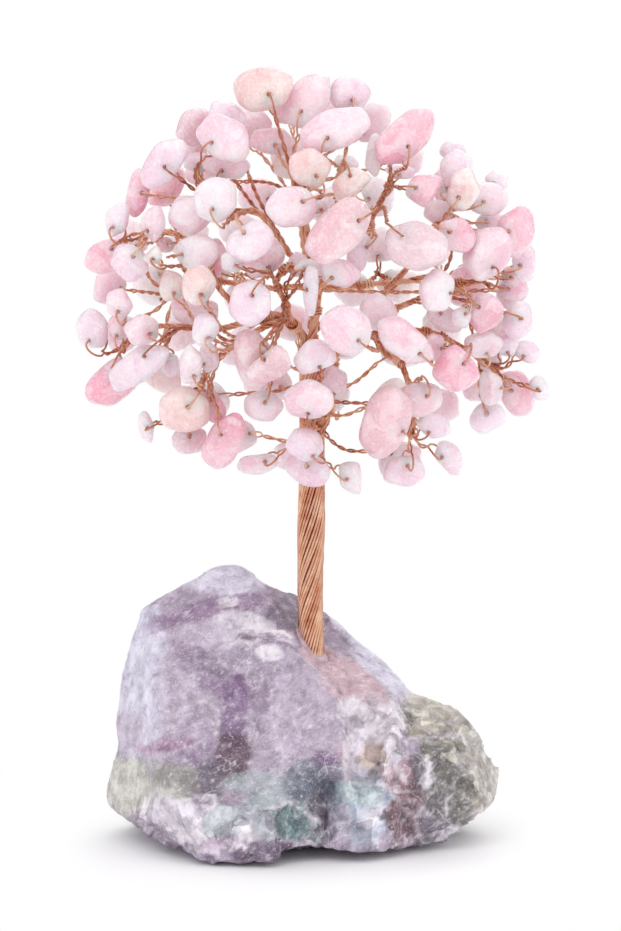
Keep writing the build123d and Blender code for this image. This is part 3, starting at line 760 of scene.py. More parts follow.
def tint(mesh, centre, axes, halves, tone, dice):
    """Colours over one chip: its main tone, running into its second one to one side and in clouds, then
    paled with painted light the further back it lies.
    """
    main, second = (np.array(srgb(*colour)) for colour in TONES[tone])
    way = any_way(dice, 0.5).normalized()
    seed = any_seed(dice)
    # Painted light: chips further back are paled towards white, to lift the shade deep in the crown
    pale = min(max((centre.y + PAINTED_LIGHT_START) / PAINTED_LIGHT_DEPTH, 0), 1) * PAINTED_LIGHT_SHARE
    lift = dice.uniform(*LIFTS)
    colours = []
    for vert in mesh.vertices:
        offset = vert.co - centre
        local = Vector([offset.dot(axes[i]) / halves[i] for i in range(3)])
        share = 0.5 + 0.45 * local.dot(way) + 0.5 * noise.noise(local * 1.4 + seed)
        share = eased(min(max(share, 0), 1))
        shown = (main * (1 - share) + second * share) * lift
        colours.extend([*np.clip(shown + (1 - shown) * pale, 0, 1), 1])
    return colours


def chips_piece(branch, twigs, dice):
    whole = bmesh.new()
    colours = []
    for twig in twigs:
        mesh, centre, axes, halves = pebble(twig, dice)
        mesh = drill(mesh, twig)
        colours.extend(tint(mesh, centre, axes, halves, tone_of(centre, dice), dice))
        whole.from_mesh(mesh)
        twig["centre"] = centre
    mesh = bpy.data.meshes.new(branch + "_quartz")
    whole.to_mesh(mesh)
    whole.free()
    mesh.attributes.new("tone", "FLOAT_COLOR", "POINT").data.foreach_set("color", colours)
    dress(branch + "_quartz", mesh, QUARTZ, branch + "_chips")


# Twig wires. The legs start inside the stem, this far back along it, and leave it beside the CAD wire's root
LEAD_BACK = 3.2 * MM
LEAD_OUT = 0.35 * MM
ROOT_BACK = 0.5 * MM
ROOT_IN = 0.1 * MM
# Bow of the legs, across and along the stem: share of their length, and the most it may be
BOW_SHARE = 0.13
BOW_MOST = 1.1 * MM
AHEAD_SHARE = 0.12
AHEAD_MOST = 0.8 * MM
BOW_PLACE = 0.42
# Steps along the legs, the bends and the whole wire, and the length over which the legs open at the chip
LEG_STEP = 0.22 * MM
BEND_STEP = 0.2 * MM
WIRE_STEP = 0.24 * MM
OPEN_LENGTH = 1.6 * MM
# The bend over each face of the chip: how far it runs on ahead, up off the face and outwards
BEND_AHEAD = 0.7 * MM
BEND_UP = 0.5 * MM
BEND_OUT = 0.3 * MM
BEND_OUT_TOP = 0.5 * MM
FRONT_RISES = (1.2, 2.3)
REAR_RISES = (0.8, 1.4)


def twig_wire(twig, stem, dice):
    """The whole wire of one chip: twisted legs off the stem, then one leg over each face into the hole."""
    root, neck = twig["root"], twig["neck"]
    run = nearest_run(stem, root)
    spot, ahead = point_at(stem, run)
    start, _ = point_at(stem, max(run - LEAD_BACK, 0))
    outward = (root - spot).normalized()
    gap = neck - root
    bow = any_way(dice).cross(gap).normalized()
    bow *= min(gap.length * BOW_SHARE, BOW_MOST) * dice.choice((-1, 1)) * dice.uniform(0.4, 1)
    middle = root + gap * BOW_PLACE + bow + ahead * min(gap.length * AHEAD_SHARE, AHEAD_MOST)
    lead = start + outward * LEAD_OUT
    line = curve_points([lead, root - ahead * ROOT_BACK - outward * ROOT_IN, middle, neck], LEG_STEP)
    heading = (line[-1] - line[-4]).normalized()
    split = twig["side"]
    split = (split - heading * split.dot(heading)).normalized()
    lay = TWIG_LAY * dice.uniform(0.8, 1.3)
    loose = dice.uniform(0, 50)
    backwards = line[::-1]
    legs = []
    for first_turn in (0, pi):
        leg = []
        for i, pair in enumerate(frames(backwards, split)):
            open_share = max(0, 1 - i * LEG_STEP / OPEN_LENGTH)
            slack = 0.7 * max(0, noise.noise(Vector((i * 0.13, loose, 0))))
            radius = TWIG_RADIUS * (1.05 + 1.1 * open_share + slack)
            leg.append(backwards[i] + around(pair, tau * i * LEG_STEP / lay + first_turn, radius))
        legs.append(leg[::-1])
    hole, normal, half = twig["hole"], twig["normal"], twig["half"]
    outwards = neck - twig["centre"]
    outwards = (outwards - normal * outwards.dot(normal)).normalized()
    bends = []
    for sign, leg in zip((1, -1), legs):
        mouth = hole + normal * sign * (half * 0.9)
        rise = dice.uniform(*(FRONT_RISES if sign * normal.y < 0 else REAR_RISES)) * MM
        first = (leg[-1] + heading * BEND_AHEAD + normal * sign * (half * 0.55 + BEND_UP)
                 + outwards * BEND_OUT)
        second = mouth + normal * sign * (rise + BEND_UP) + outwards * BEND_OUT_TOP
        bends.append(bezier(leg[-1], first, second, mouth, BEND_STEP))
    through = [hole + normal * half * share for share in (0.7, 0.3, 0, -0.3, -0.7)]
    return even(legs[0] + bends[0][1:] + through + bends[1][::-1][:-1] + legs[1][::-1], WIRE_STEP)


# Wraps: points to the turn, rise of a turn in wire radii, and steps along the wire
WRAP_POINTS = 14
WRAP_RISE = 2.3
WRAP_STEP = 0.2 * MM


def wrap(heap, line, start, turns, radius, dice):
    """A few uneven turns of wire wound round a bundle."""
    count = int(turns * WRAP_POINTS)
    length = turns * WRAP_RISE * WIRE_RADIUS
    tilt = dice.uniform(0.2, 0.5)
    spot, ahead = point_at(line, min(start, length_of(line)))
    side = ahead.orthogonal().normalized()
    pair = (side, ahead.cross(side))
    points = []
    for i in range(count + 1):
        turn = tau * i / WRAP_POINTS
        wide = radius * (1 + 0.12 * noise.noise(Vector((i * 0.21, start / MM, 0))))
        along = (i / count - 0.5) * length + tilt * radius * cos(turn + start / MM)
        points.append(spot + ahead * along + around(pair, turn, wide))
    heap.tube(even(points, WRAP_STEP), WIRE_RADIUS * 0.95, sides=6, tone_and_shade=0.5 + dice.uniform(-0.15, 0.15))


# The trunk leans most at one height. It is a little wider at its foot and at a swelling, and narrows at its
# top. Each row: how much, at what height and over what height
TRUNK_LEAN = (-0.32 * MM, 46 * MM, 13 * MM)
TRUNK_SWELLS = ((0.10, 57.5 * MM, 6 * MM), (0.10, 31 * MM, 5 * MM))
TRUNK_NECK = (0.42, 85 * MM, 5.5 * MM)
# The strands run steeper at the foot and again near the crown: how much, and where in shares of the height
STEEPER = ((1.1, 0, 0.14), (0.5, 0.62, 0.2))
TRUNK_STEP = 0.5 * MM
# How far a strand wanders round the trunk and into it, over which heights, and how deep the core lies
STRAND_SWAY = 0.07
STRAND_SWAY_SIZE = 9 * MM
STRAND_SINK = 0.10 * MM
STRAND_SINK_SIZE = 6 * MM
CORE_INSET = 0.12 * MM


def trunk_centre(height):
    lean, middle, width = TRUNK_LEAN
    return Vector((lean * bump(height, middle, width), 0, height))


def trunk_reach(height):
    wider = sum(share * bump(height, middle, width) for share, middle, width in TRUNK_SWELLS)
    share, start, length = TRUNK_NECK
    return (TRUNK_RADIUS - STRAND_RADIUS) * (1 + wider - share * max(0, (height - start) / length) ** 2)


def trunk_lay(share):
    return TRUNK_LAY * (1 + sum(more * bump(share, middle, width) for more, middle, width in STEEPER))


def trunk_piece():
    """Strands laid side by side round the inner bundle, some sunk a little and some standing proud."""
    dice = random.Random(11)
    low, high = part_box("trunk_strands")
    heap = Heap()
    heights = np.arange(low.z, high.z, TRUNK_STEP)
    for number in range(TRUNK_STRANDS):
        seed = dice.uniform(0, 100)
        points = []
        turn = tau * number / TRUNK_STRANDS
        for height in heights:
            turn += tau * TRUNK_STEP / trunk_lay((height - low.z) / (high.z - low.z))
            sway = STRAND_SWAY * noise.noise(Vector((height / STRAND_SWAY_SIZE, seed, 0)))
            sink = STRAND_SINK * noise.noise(Vector((height / STRAND_SINK_SIZE, seed, 7)))
            way = Vector((cos(turn + sway), sin(turn + sway), 0))
            points.append(trunk_centre(height) + way * (trunk_reach(height) + sink))
        heap.tube(points, STRAND_RADIUS * 1.04, sides=9, tone_and_shade=0.5 + dice.uniform(-0.07, 0.07))
    heap.piece("trunk_wires", COPPER, "copper_wire", "trunk_strands")
    # The inner bundle is a little darker: painted shade, seen in the grooves between the strands
    core = Heap()
    core.tube([trunk_centre(height) for height in heights[::4]],
              [trunk_reach(height) - CORE_INSET for height in heights[::4]], sides=20, tone_and_shade=-0.1)
    core.piece("trunk_heart", COPPER, "copper_wire", "trunk_core")


# Limbs and stems: where the limbs part at the trunk's top, the stretch of trunk that may carry a stem, how
# far a stem is led in along its carrier, and steps along both
PARTING = Vector((0, 0, 90 * MM))
LIMB_START = 83 * MM
BOLE = [Vector((0, 0, height * MM)) for height in range(50, 91)]
STEM_LEAD = 5 * MM
LINE_STEP = 0.3 * MM
# Distance of the strands from the line at its root, what they lose of it to the tip, and the inner wire,
# whose dark colour is painted shade in the grooves between the strands
LIMB_REACH = 0.70 * MM
LIMB_TAPER = 0.35
LIMB_CORE_INSET = 0.1 * MM
STEM_REACH = 0.42 * MM
STEM_TAPER = 0.45
STEM_CORE = 0.26 * MM
STEM_CORE_TAPER = 0.6
# Wraps on a limb: place along it and turns. Their radius at its root, and what it loses to the tip
LIMB_WRAPS = ((0.24, 7), (0.55, 3), (0.86, 4))
LIMB_WRAP_MM = 1.12
LIMB_WRAP_TAPER_MM = 0.15
STEM_WRAPS = 3
STEM_WRAP = 0.72 * MM


def limb_lines():
    lines = {}
    for name in LIMBS:
        route = bar_route(name, [PARTING])
        base = Vector((route[0].x * 0.5, route[0].y * 0.5, LIMB_START))
        lines[name] = curve_points([base] + route, LINE_STEP)
    return lines


def stem_lines(limbs):
    """Centreline of each stem, led in along the limb or trunk that it leaves."""
    carriers = list(limbs.values()) + [BOLE]
    near = [point for line in carriers for point in line]
    lines = {}
    for branch in BRANCHES:
        route = bar_route(branch + "_stem", near)
        carrier = min(carriers, key=lambda line: min((route[0] - point).length for point in line))
        lead, _ = point_at(carrier, max(nearest_run(carrier, route[0]) - STEM_LEAD, 0))
        lines[branch] = curve_points([lead] + route, LINE_STEP)
    return lines


def limbs_pieces(limbs):
    """Each limb: strands laid round a core that is darkened as painted shade in the grooves between them,
    with wraps over them.
    """
    for name, line in limbs.items():
        dice = random.Random(len(name) + ord(name[0]))
        heap = Heap()
        total = length_of(line)
        reach = [LIMB_REACH * (1 - LIMB_TAPER * (i / (len(line) - 1))) for i in range(len(line))]
        for number in range(LIMB_STRANDS):
            phase = tau * number / LIMB_STRANDS + dice.uniform(-0.12, 0.12)
            heap.tube(laid(line, reach, LIMB_LAY, phase), WIRE_RADIUS, tone_and_shade=0.5 + dice.uniform(-0.1, 0.12))
        core = [max(width - LIMB_CORE_INSET, LIMB_CORE_INSET) for width in reach]
        # The core's dark tone is painted shade, seen in the grooves between the strands
        heap.tube(line, core, sides=10, tone_and_shade=-0.25)
        for start, turns in LIMB_WRAPS:
            wrap(heap, line, total * start, turns, (LIMB_WRAP_MM - LIMB_WRAP_TAPER_MM * start) * MM, dice)
        heap.piece(name + "_wires_laid", COPPER, "copper_wire", name)


def stems_pieces(stems):
    """Each stem: strands round a core darkened as painted shade in the grooves between them, with wraps over
    them. Only two strands reach its tip.
    """
    for branch, line in stems.items():
        dice = random.Random(branch)
        heap = Heap()
        total = length_of(line)
        count = len(line)
        for number in range(STEM_STRANDS):
            share = 1 if number < 2 else dice.uniform(0.6, 0.95)
            part = line[:max(8, int(count * share))]
            reach = [STEM_REACH * (1 - STEM_TAPER * i / count) for i in range(len(part))]
            phase = tau * number / STEM_STRANDS + dice.uniform(-0.2, 0.2)
            strand = laid(part, reach, STEM_LAY, phase)
            heap.tube(strand, WIRE_RADIUS, tone_and_shade=0.48 + dice.uniform(-0.12, 0.14))
        core = [STEM_CORE * (1 - STEM_CORE_TAPER * i / count) for i in range(count)]
        # The core's dark tone is painted shade, seen in the grooves between the strands
        heap.tube(line, core, sides=8, tone_and_shade=-0.2)
        for _ in range(STEM_WRAPS):
            wrap(heap, line, total * dice.uniform(0.35, 0.97), dice.choice((2, 3)), STEM_WRAP, dice)
        heap.piece(branch + "_bundle", COPPER, "copper_wire", branch + "_stem")


# Base stone

STONE_TONES = {
    "lavender": (222, 219, 234),
    "pale": (230, 224, 233),
    "white": (240, 235, 241),
    "lilac": (198, 186, 202),
    "lilac_grey": (180, 168, 184),
    "violet_grey": (162, 146, 168),
    "purple": (150, 126, 154),
    "deep_purple": (132, 108, 140),
    "dark_violet": (122, 108, 126),
    "dark_grey": (118, 112, 122),
    "pale_green": (209, 208, 199),
    "cream": (216, 212, 200),
    "grey_green": (150, 152, 142),
    "dark_green": (120, 120, 110),
    "olive": (190, 186, 166),
    "teal": (118, 142, 142),
    "pale_teal": (186, 202, 202),
    "dark_teal": (104, 112, 124),
    "aqua": (182, 194, 206),
    "pink_beige": (206, 180, 188),
    "tan": (214, 197, 182),
    "brown": (136, 108, 104),
    "brown_purple": (132, 104, 112),
    "brown_violet": (104, 84, 98),
    "magenta": (172, 136, 164),
}
# Coloured zones that run through the stone: picture place, half sizes, turn in degrees, tone and strength
STONE_ZONES_PX = (
    (140, 690, 32, 78, 0, "lavender", 0.9), (225, 578, 66, 20, -8, "lavender", 0.9),
    (140, 628, 26, 26, 0, "lavender", 0.9), (262, 700, 42, 60, 0, "lilac_grey", 0.6),
    (300, 725, 44, 54, 0, "lilac", 0.7), (180, 690, 26, 60, 0, "lilac", 0.7),
    (216, 607, 60, 10, 10, "purple", 0.75), (160, 622, 18, 10, 20, "purple", 0.6),
    (282, 616, 18, 26, -40, "dark_violet", 0.7), (225, 602, 13, 5, 0, "white", 0.8),
    (236, 628, 34, 20, 0, "pale", 0.9), (202, 634, 26, 16, 0, "lilac", 0.8),
    (256, 622, 22, 13, -20, "pale", 0.7), (212, 674, 48, 19, -38, "violet_grey", 0.9),
    (206, 664, 22, 12, -30, "dark_grey", 0.4), (262, 690, 14, 26, 0, "purple", 0.45),
    (234, 712, 15, 44, 0, "deep_purple", 0.75), (200, 768, 26, 30, -8, "violet_grey", 0.75),
    (206, 778, 16, 22, 0, "dark_grey", 0.7), (174, 782, 24, 22, 0, "grey_green", 0.75),
    (128, 730, 20, 22, 0, "lilac", 0.7), (166, 745, 32, 8, 6, "magenta", 0.7),
    (232, 757, 21, 27, 0, "brown_violet", 0.95),
    (126, 786, 27, 32, 0, "pale_green", 0.9), (160, 800, 28, 14, 0, "pale_green", 0.7),
    (150, 770, 14, 14, 0, "grey_green", 0.5), (200, 822, 58, 20, -22, "pale", 0.9),
    (200, 838, 36, 12, -20, "white", 0.7), (212, 806, 30, 6, -8, "lilac_grey", 0.6),
    (244, 826, 42, 26, 0, "pale_teal", 0.6), (234, 844, 26, 12, 0, "magenta", 0.55),
    (248, 838, 18, 12, 0, "white", 0.6), (264, 853, 34, 9, 4, "dark_violet", 0.85),
    (258, 782, 44, 12, 0, "pale_teal", 0.5), (276, 800, 34, 8, -6, "pale_teal", 0.7),
    (298, 826, 25, 18, -24, "teal", 0.95), (318, 784, 40, 28, 0, "dark_teal", 0.85),
    (345, 770, 24, 22, 0, "dark_teal", 0.6), (325, 815, 18, 26, 20, "dark_grey", 0.7),
    (330, 760, 22, 10, 8, "deep_purple", 0.75), (350, 757, 12, 20, 0, "pink_beige", 0.8),
    (352, 682, 40, 24, -38, "pink_beige", 0.9), (322, 656, 24, 9, -24, "pink_beige", 0.9),
    (392, 668, 74, 20, -40, "lavender", 0.85), (345, 634, 34, 7, -42, "dark_grey", 0.6),
    (372, 716, 30, 24, -20, "white", 0.9), (384, 748, 18, 32, 0, "white", 0.85),
    (356, 744, 13, 30, 0, "pale", 0.9), (404, 702, 24, 10, 0, "pale", 0.6),
    (372, 758, 14, 10, 0, "tan", 0.85), (382, 776, 24, 7, 10, "brown", 0.6),
    (440, 722, 42, 24, -18, "olive", 0.9), (410, 716, 16, 14, 0, "grey_green", 0.7),
    (452, 770, 42, 52, 0, "dark_green", 0.75), (484, 778, 18, 36, 0, "olive", 0.6),
    (440, 748, 20, 12, 0, "dark_green", 0.6), (414, 770, 12, 20, 0, "dark_grey", 0.5),
    (462, 757, 13, 8, 0, "cream", 0.8), (402, 806, 15, 42, 0, "brown_purple", 0.9),
    (416, 752, 9, 9, 0, "dark_grey", 0.7), (362, 808, 32, 36, 0, "aqua", 0.75),
    (374, 814, 12, 18, 0, "white", 0.6), (358, 792, 22, 12, 0, "pale_teal", 0.7),
    (424, 830, 44, 16, -14, "dark_grey", 0.8), (482, 822, 24, 14, -20, "cream", 0.85),
    (458, 831, 24, 8, 32, "pale", 0.85), (269, 654, 16, 8, -14, "white", 0.9),
    (247, 636, 11, 8, 0, "dark_violet", 0.9), (276, 641, 24, 7, -20, "violet_grey", 0.9),
    (276, 632, 22, 3, -16, "white", 0.9), (426, 815, 9, 4, 14, "white", 0.8),
    (488, 772, 18, 34, 0, "pale_green", 0.8), (474, 738, 26, 11, -36, "pale_green", 0.75),
    (436, 706, 34, 7, -20, "cream", 0.6), (366, 690, 26, 12, -38, "pink_beige", 0.6),
    (398, 782, 14, 16, -20, "pink_beige", 0.6), (406, 812, 17, 32, -8, "brown_purple", 0.75),
    (452, 800, 20, 34, 18, "dark_green", 0.75), (440, 724, 32, 15, -18, "cream", 0.55),
    (354, 634, 46, 9, -43, "lavender", 0.9), (332, 618, 12, 10, -43, "lavender", 0.7),
    (301, 600, 12, 12, 0, "lavender", 0.6), (340, 776, 16, 9, 0, "lilac_grey", 0.6),
    (342, 822, 12, 14, 0, "lilac_grey", 0.6), (427, 772, 8, 18, -22, "white", 0.95),
    (210, 782, 15, 22, 0, "dark_grey", 0.6), (440, 812, 18, 20, 20, "dark_grey", 0.5),
)
# Breaks in the surface: the side to the left of each line stands proud. Each has its line, height and reach
STONE_BREAKS_PX = (
    (((300, 656), (286, 644), (262, 636), (242, 640)), 1.2 * MM, 4 * MM),
    (((398, 744), (430, 738), (456, 734), (484, 742)), 0.5 * MM, 5 * MM),
    (((420, 784), (432, 756), (438, 752)), 0.6 * MM, 3 * MM),
    (((272, 812), (296, 806), (318, 838)), 0.4 * MM, 4 * MM),
)
# White edges where a face broke off: picture line, half width and strength
STONE_EDGES_PX = (
    (((244, 631), (262, 633), (280, 640), (296, 644)), 0.45 * MM, 0.8),
    (((173, 722), (181, 709), (205, 701), (221, 712), (215, 735)), 0.30 * MM, 0.6),
    (((341, 699), (343, 738), (346, 780)), 0.45 * MM, 0.8),
    (((160, 806), (194, 798), (215, 798), (218, 816)), 0.40 * MM, 0.9),
    (((385, 709), (401, 722), (385, 738), (404, 780)), 0.45 * MM, 0.8),
    (((404, 743), (425, 738), (456, 735), (480, 748)), 0.40 * MM, 0.7),
    (((351, 782), (388, 785), (414, 819), (422, 842)), 0.45 * MM, 0.7),
    (((272, 806), (290, 802), (322, 826), (318, 840)), 0.40 * MM, 0.8),
    (((205, 660), (232, 668), (262, 672), (276, 690)), 0.25 * MM, 0.4),
    (((268, 676), (272, 716), (282, 760)), 0.25 * MM, 0.5),
    (((300, 656), (318, 668), (336, 690)), 0.30 * MM, 0.5),
    (((466, 830), (480, 812), (500, 800)), 0.40 * MM, 0.8),
    (((136, 752), (170, 752), (205, 740)), 0.30 * MM, 0.5),
)
# Size of the cells that the stone is cut into, and how they are smoothed
STONE_CELL = 0.5 * MM
WORN_FACTOR = 0.6
WORN_TIMES = 14
# The plug that closes the socket: how far it starts below the adhesive, ends below its top, and is wider
PLUG_BELOW = 1 * MM
PLUG_SUNK = 1.5 * MM
PLUG_WIDER = 0.3 * MM
# Noise that makes the zones' borders uneven: size of its features and reach in pixels. The last one's reach
# grows with each millimetre behind the trunk
WARPS_PX = ((7 * MM, 5), (1.8 * MM, 2.2))
WARP_BEHIND_PX = (26 * MM, 2)
# Share of that unevenness that the breaks and the white edges follow
BREAK_WARP = 0.4
EDGE_WARP = 0.45
BREAK_SOFTNESS = 0.22 * MM
# Broken faces, large and small: size, seed, tilt, and height in millimetres, plain and added on crystal
FACETS = ((7.0 * MM, 3.3, 1.6, 0.26, 0.66), (3.0 * MM, 8.1, 1.2, 0.14, 0.34))
# Where the surface stands lower or higher than the CAD's, by this much at most
RISE_RANGE = (-1.1 * MM, 0.8 * MM)
SWELL = 0.35
REST_HEIGHT = 1.2 * MM
CALM_ABOVE = 25 * MM
CALM_RADIUS = 2.6 * MM
CALM_WIDTH = 2.5 * MM
EDGES_BEFORE = 6 * MM


def noise_all(places, size, seed, octaves=3):
    """Fractal noise at many points, from about -1 to 1."""
    offset = Vector((seed * 7.3, seed * 3.1, seed * 5.7))
    return np.array([noise.fractal(Vector(place) / size + offset, 1.0, 2.0, octaves) for place in places])


def side_of_line(spots, line):
    """Distance in pixels from each picture place to a line, positive on the line's left."""
    best = np.full(len(spots), 1e9)
    signed = np.zeros(len(spots))
    for start, end in zip(line, line[1:]):
        start, end = np.array(start, float), np.array(end, float)
        way = end - start
        span = np.linalg.norm(way)
        way /= span
        offset = spots - start
        run = np.clip(offset @ way, 0, span)
        gap = np.linalg.norm(offset - run[:, None] * way, axis=1)
        turn = offset[:, 0] * way[1] - offset[:, 1] * way[0]
        closer = gap < best
        best[closer] = gap[closer]
        signed[closer] = np.sign(turn[closer]) * gap[closer]
    return signed


def stone_mesh():
    """The CAD stone with its socket closed round the trunk, cut into fine even faces."""
    plug = Heap()
    low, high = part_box("foot_adhesive")
    ends = [Vector((0, 0, low.z - PLUG_BELOW)), Vector((0, 0, high.z - PLUG_SUNK))]
    plug.tube(ends, (high.x - low.x) / 2 + PLUG_WIDER, sides=24)
    whole = bmesh.new()
    whole.from_mesh(NODES["base_stone"].data)
    whole.from_mesh(plug.mesh("stone_plug"))
    joined = bpy.data.meshes.new("stone_body")
    whole.to_mesh(joined)
    whole.free()
    body = in_scene("stone_body", joined)
    remesh = body.modifiers.new("cells", "REMESH")
    remesh.mode = "VOXEL"
    remesh.voxel_size = STONE_CELL
    smooth = body.modifiers.new("worn", "SMOOTH")
    smooth.factor = WORN_FACTOR
    smooth.iterations = WORN_TIMES
    mesh = modified(body)
    bpy.data.objects.remove(body)
    mesh.materials.clear()
    return mesh


def facets(places, size, seed, tilt):
    """Flat fracture faces: every cell of the surface is pushed in or out and tilted as one plane.

    Gives the rise of each point, the middle of its cell, and how far the cell's edge is, in cells."""
    rise = np.zeros(len(places))
    middles = np.zeros((len(places), 3))
    edges = np.zeros(len(places))
    aside = (Vector((0, 0, 0)), Vector((9, 0, 0)), Vector((0, 9, 0)))
    start = Vector((seed, seed, seed))
    half = Vector((0.5, 0.5, 0.5))
    for i, place in enumerate(places):
        straight = Vector(place) / size + start
        bend = Vector([noise.noise(straight * 1.7 + shift) for shift in aside]) * 0.35
        spot = straight + bend
        distances, cores = noise.voronoi(spot)
        core = cores[0]
        key = noise.cell_vector(core * 13.7)
        rise[i] = (key.x - 0.5) + (spot - core).dot(key - half) * tilt
        middles[i] = (core - bend - start) * size
        edges[i] = distances[1] - distances[0]
    return rise, middles, edges


def of_vertices(mesh, key):
    """One vector for each vertex of a mesh."""
    values = np.zeros(len(mesh.vertices) * 3)
    mesh.vertices.foreach_get(key, values)
    return values.reshape(-1, 3)


def unevenness(places, seed):
    """How far the picture's marks are shifted one way at each point, in pixels."""
    shift = sum(noise_all(places, size, seed + i) * reach for i, (size, reach) in enumerate(WARPS_PX))
    size, reach = WARP_BEHIND_PX
    behind = np.clip(places[:, 1], 0, None) / MM
    return shift + behind * noise_all(places, size, seed + len(WARPS_PX), 1) * reach


def toward(colour, tone, share):
    """The colours of all points, carried towards one tone by each point's share."""
    return colour + (np.array(srgb(*STONE_TONES[tone])) - colour) * share[:, None]


def stone_rise(places, normals, spots, warp, crystal, faces):
    """How far each point of the stone is moved out along its normal."""
    front = np.clip(0.5 - normals[:, 1] * 1.4, 0, 1)
    rise = np.zeros(len(places))
    for line, height, reach in STONE_BREAKS_PX:
        signed = side_of_line(spots + warp * BREAK_WARP, line) * PICTURE_SCALE
        step = 1 / (1 + np.exp(-signed / BREAK_SOFTNESS))
        rise += height * (step - 0.5) * np.exp(-(signed / reach) ** 2) * front
    for (height, _, _), (_, _, _, plain, more) in zip(faces, FACETS):
        rise += height * (plain + more * crystal) * MM
    rise += noise_all(places, 11 * MM, 7) * SWELL * MM
    rise += noise_all(places, 1.6 * MM, 8, 4) * (0.10 + 0.06 * crystal) * MM
    rise = np.clip(rise, *RISE_RANGE) * np.clip(places[:, 2] / REST_HEIGHT, 0, 1)
    away = np.clip((np.hypot(places[:, 0], places[:, 1]) - CALM_RADIUS) / CALM_WIDTH, 0, 1)
    return np.where(places[:, 2] > CALM_ABOVE, rise * (0.25 + 0.75 * away), rise)


def stone_colour(places, spots, warp, crystal, faces):
    """Colour of each point: the zones, then white edges and rims, then clouds and specks."""
    (_, large_middles, large_edges), (_, small_middles, small_edges) = faces
    # A broken face has one tone, so its colour is looked up nearer to the middle of its cell
    to_cell = (0.15 + 0.45 * crystal)[:, None]
    middle = to_picture(small_middles) * 0.6 + to_picture(large_middles) * 0.4
    bent = (spots + warp) * (1 - to_cell) + middle * to_cell
    colour = np.tile(np.array(srgb(*STONE_TONES["lilac_grey"])), (len(places), 1))
    for x, y, half_x, half_y, turn, tone, strength in STONE_ZONES_PX:
        offset = bent - np.array([x, y])
        turned = radians(turn)
        along = offset[:, 0] * cos(turned) - offset[:, 1] * sin(turned)
        across = offset[:, 0] * sin(turned) + offset[:, 1] * cos(turned)
        reach = np.hypot(along / half_x, across / half_y)
        share = np.clip((1.10 - reach) / (0.34 - 0.16 * crystal), 0, 1)
        colour = toward(colour, tone, eased(share) * strength)
    broken = np.clip(0.75 + 0.9 * noise_all(places, 1.3 * MM, 12, 2), 0, 1)
    for line, width, strength in STONE_EDGES_PX:
        gap = np.abs(side_of_line(spots + warp * EDGE_WARP, line)) * PICTURE_SCALE
        share = np.exp(-(gap / width) ** 2) * broken * strength * (places[:, 1] < EDGES_BEFORE)
        colour = toward(colour, "white", share)
    rim = np.clip(1 - large_edges / 0.05, 0, 1) * 0.5 + np.clip(1 - small_edges / 0.06, 0, 1) * 0.3
    colour = toward(colour, "white", rim * (0.25 + 0.75 * crystal))
    step = 1 + (0.05 + 0.13 * crystal) * np.sin(small_middles[:, 0] * 2100 + small_middles[:, 2] * 3700)
    colour = colour * (step * (1 + 0.14 * noise_all(places, 2.4 * MM, 9, 4)))[:, None]
    speck = np.clip((noise_all(places, 0.9 * MM, 10, 2) - 0.42) * 5, 0, 1) * 0.5
    return np.clip(toward(colour, "white", speck), 0, 1)


def stone_piece():
    """The stone, with breaks and broken faces raised on it, and its colours and gloss stored by point."""
    mesh = stone_mesh()
    places = of_vertices(mesh, "co")
    normals = of_vertices(mesh, "normal")
    spots = to_picture(places)
    warp = np.stack([unevenness(places, seed) for seed in (1, 4)], axis=1)
    # The right side and the foot are broken into crystals
    crystal = np.clip((spots[:, 0] - 325) / 40, 0, 1) * np.clip((spots[:, 1] - 690) / 25, 0, 1)
    crystal = np.maximum(crystal, np.clip((spots[:, 1] - 795) / 16, 0, 1))
    faces = [facets(places, size, seed, tilt) for size, seed, tilt, _, _ in FACETS]
    moved = places + normals * stone_rise(places, normals, spots, warp, crystal, faces)[:, None]
    moved[:, 2] = np.maximum(moved[:, 2], 0)
    mesh.vertices.foreach_set("co", moved.reshape(-1))
    colour = stone_colour(places, spots, warp, crystal, faces)
    colour = np.concatenate([colour, np.ones((len(places), 1))], axis=1)
    mesh.attributes.new("tone", "FLOAT_COLOR", "POINT").data.foreach_set("color", colour.reshape(-1))
    gloss = np.clip(0.25 + 0.6 * crystal + 0.25 * noise_all(places, 5 * MM, 11, 2), 0, 1)
    mesh.attributes.new("gloss", "FLOAT", "POINT").data.foreach_set("value", gloss)
    dress("stone", mesh, STONE, "base_stone")


# The adhesive: sides of its rings, how far beyond it the stone's surface is felt for, and how far it stays
# below that surface
BED_SIDES = 36
FEEL_BEYOND = 0.5 * MM
FEEL_BELOW = 0.3 * MM
# Rings above its foot: height from the CAD bed's top, and width as a share of the bed's
BED_RINGS = ((-1.2 * MM, 1.0), (-0.2 * MM, 1.12), (0.4 * MM, 1.02), (0.8 * MM, 0.84))


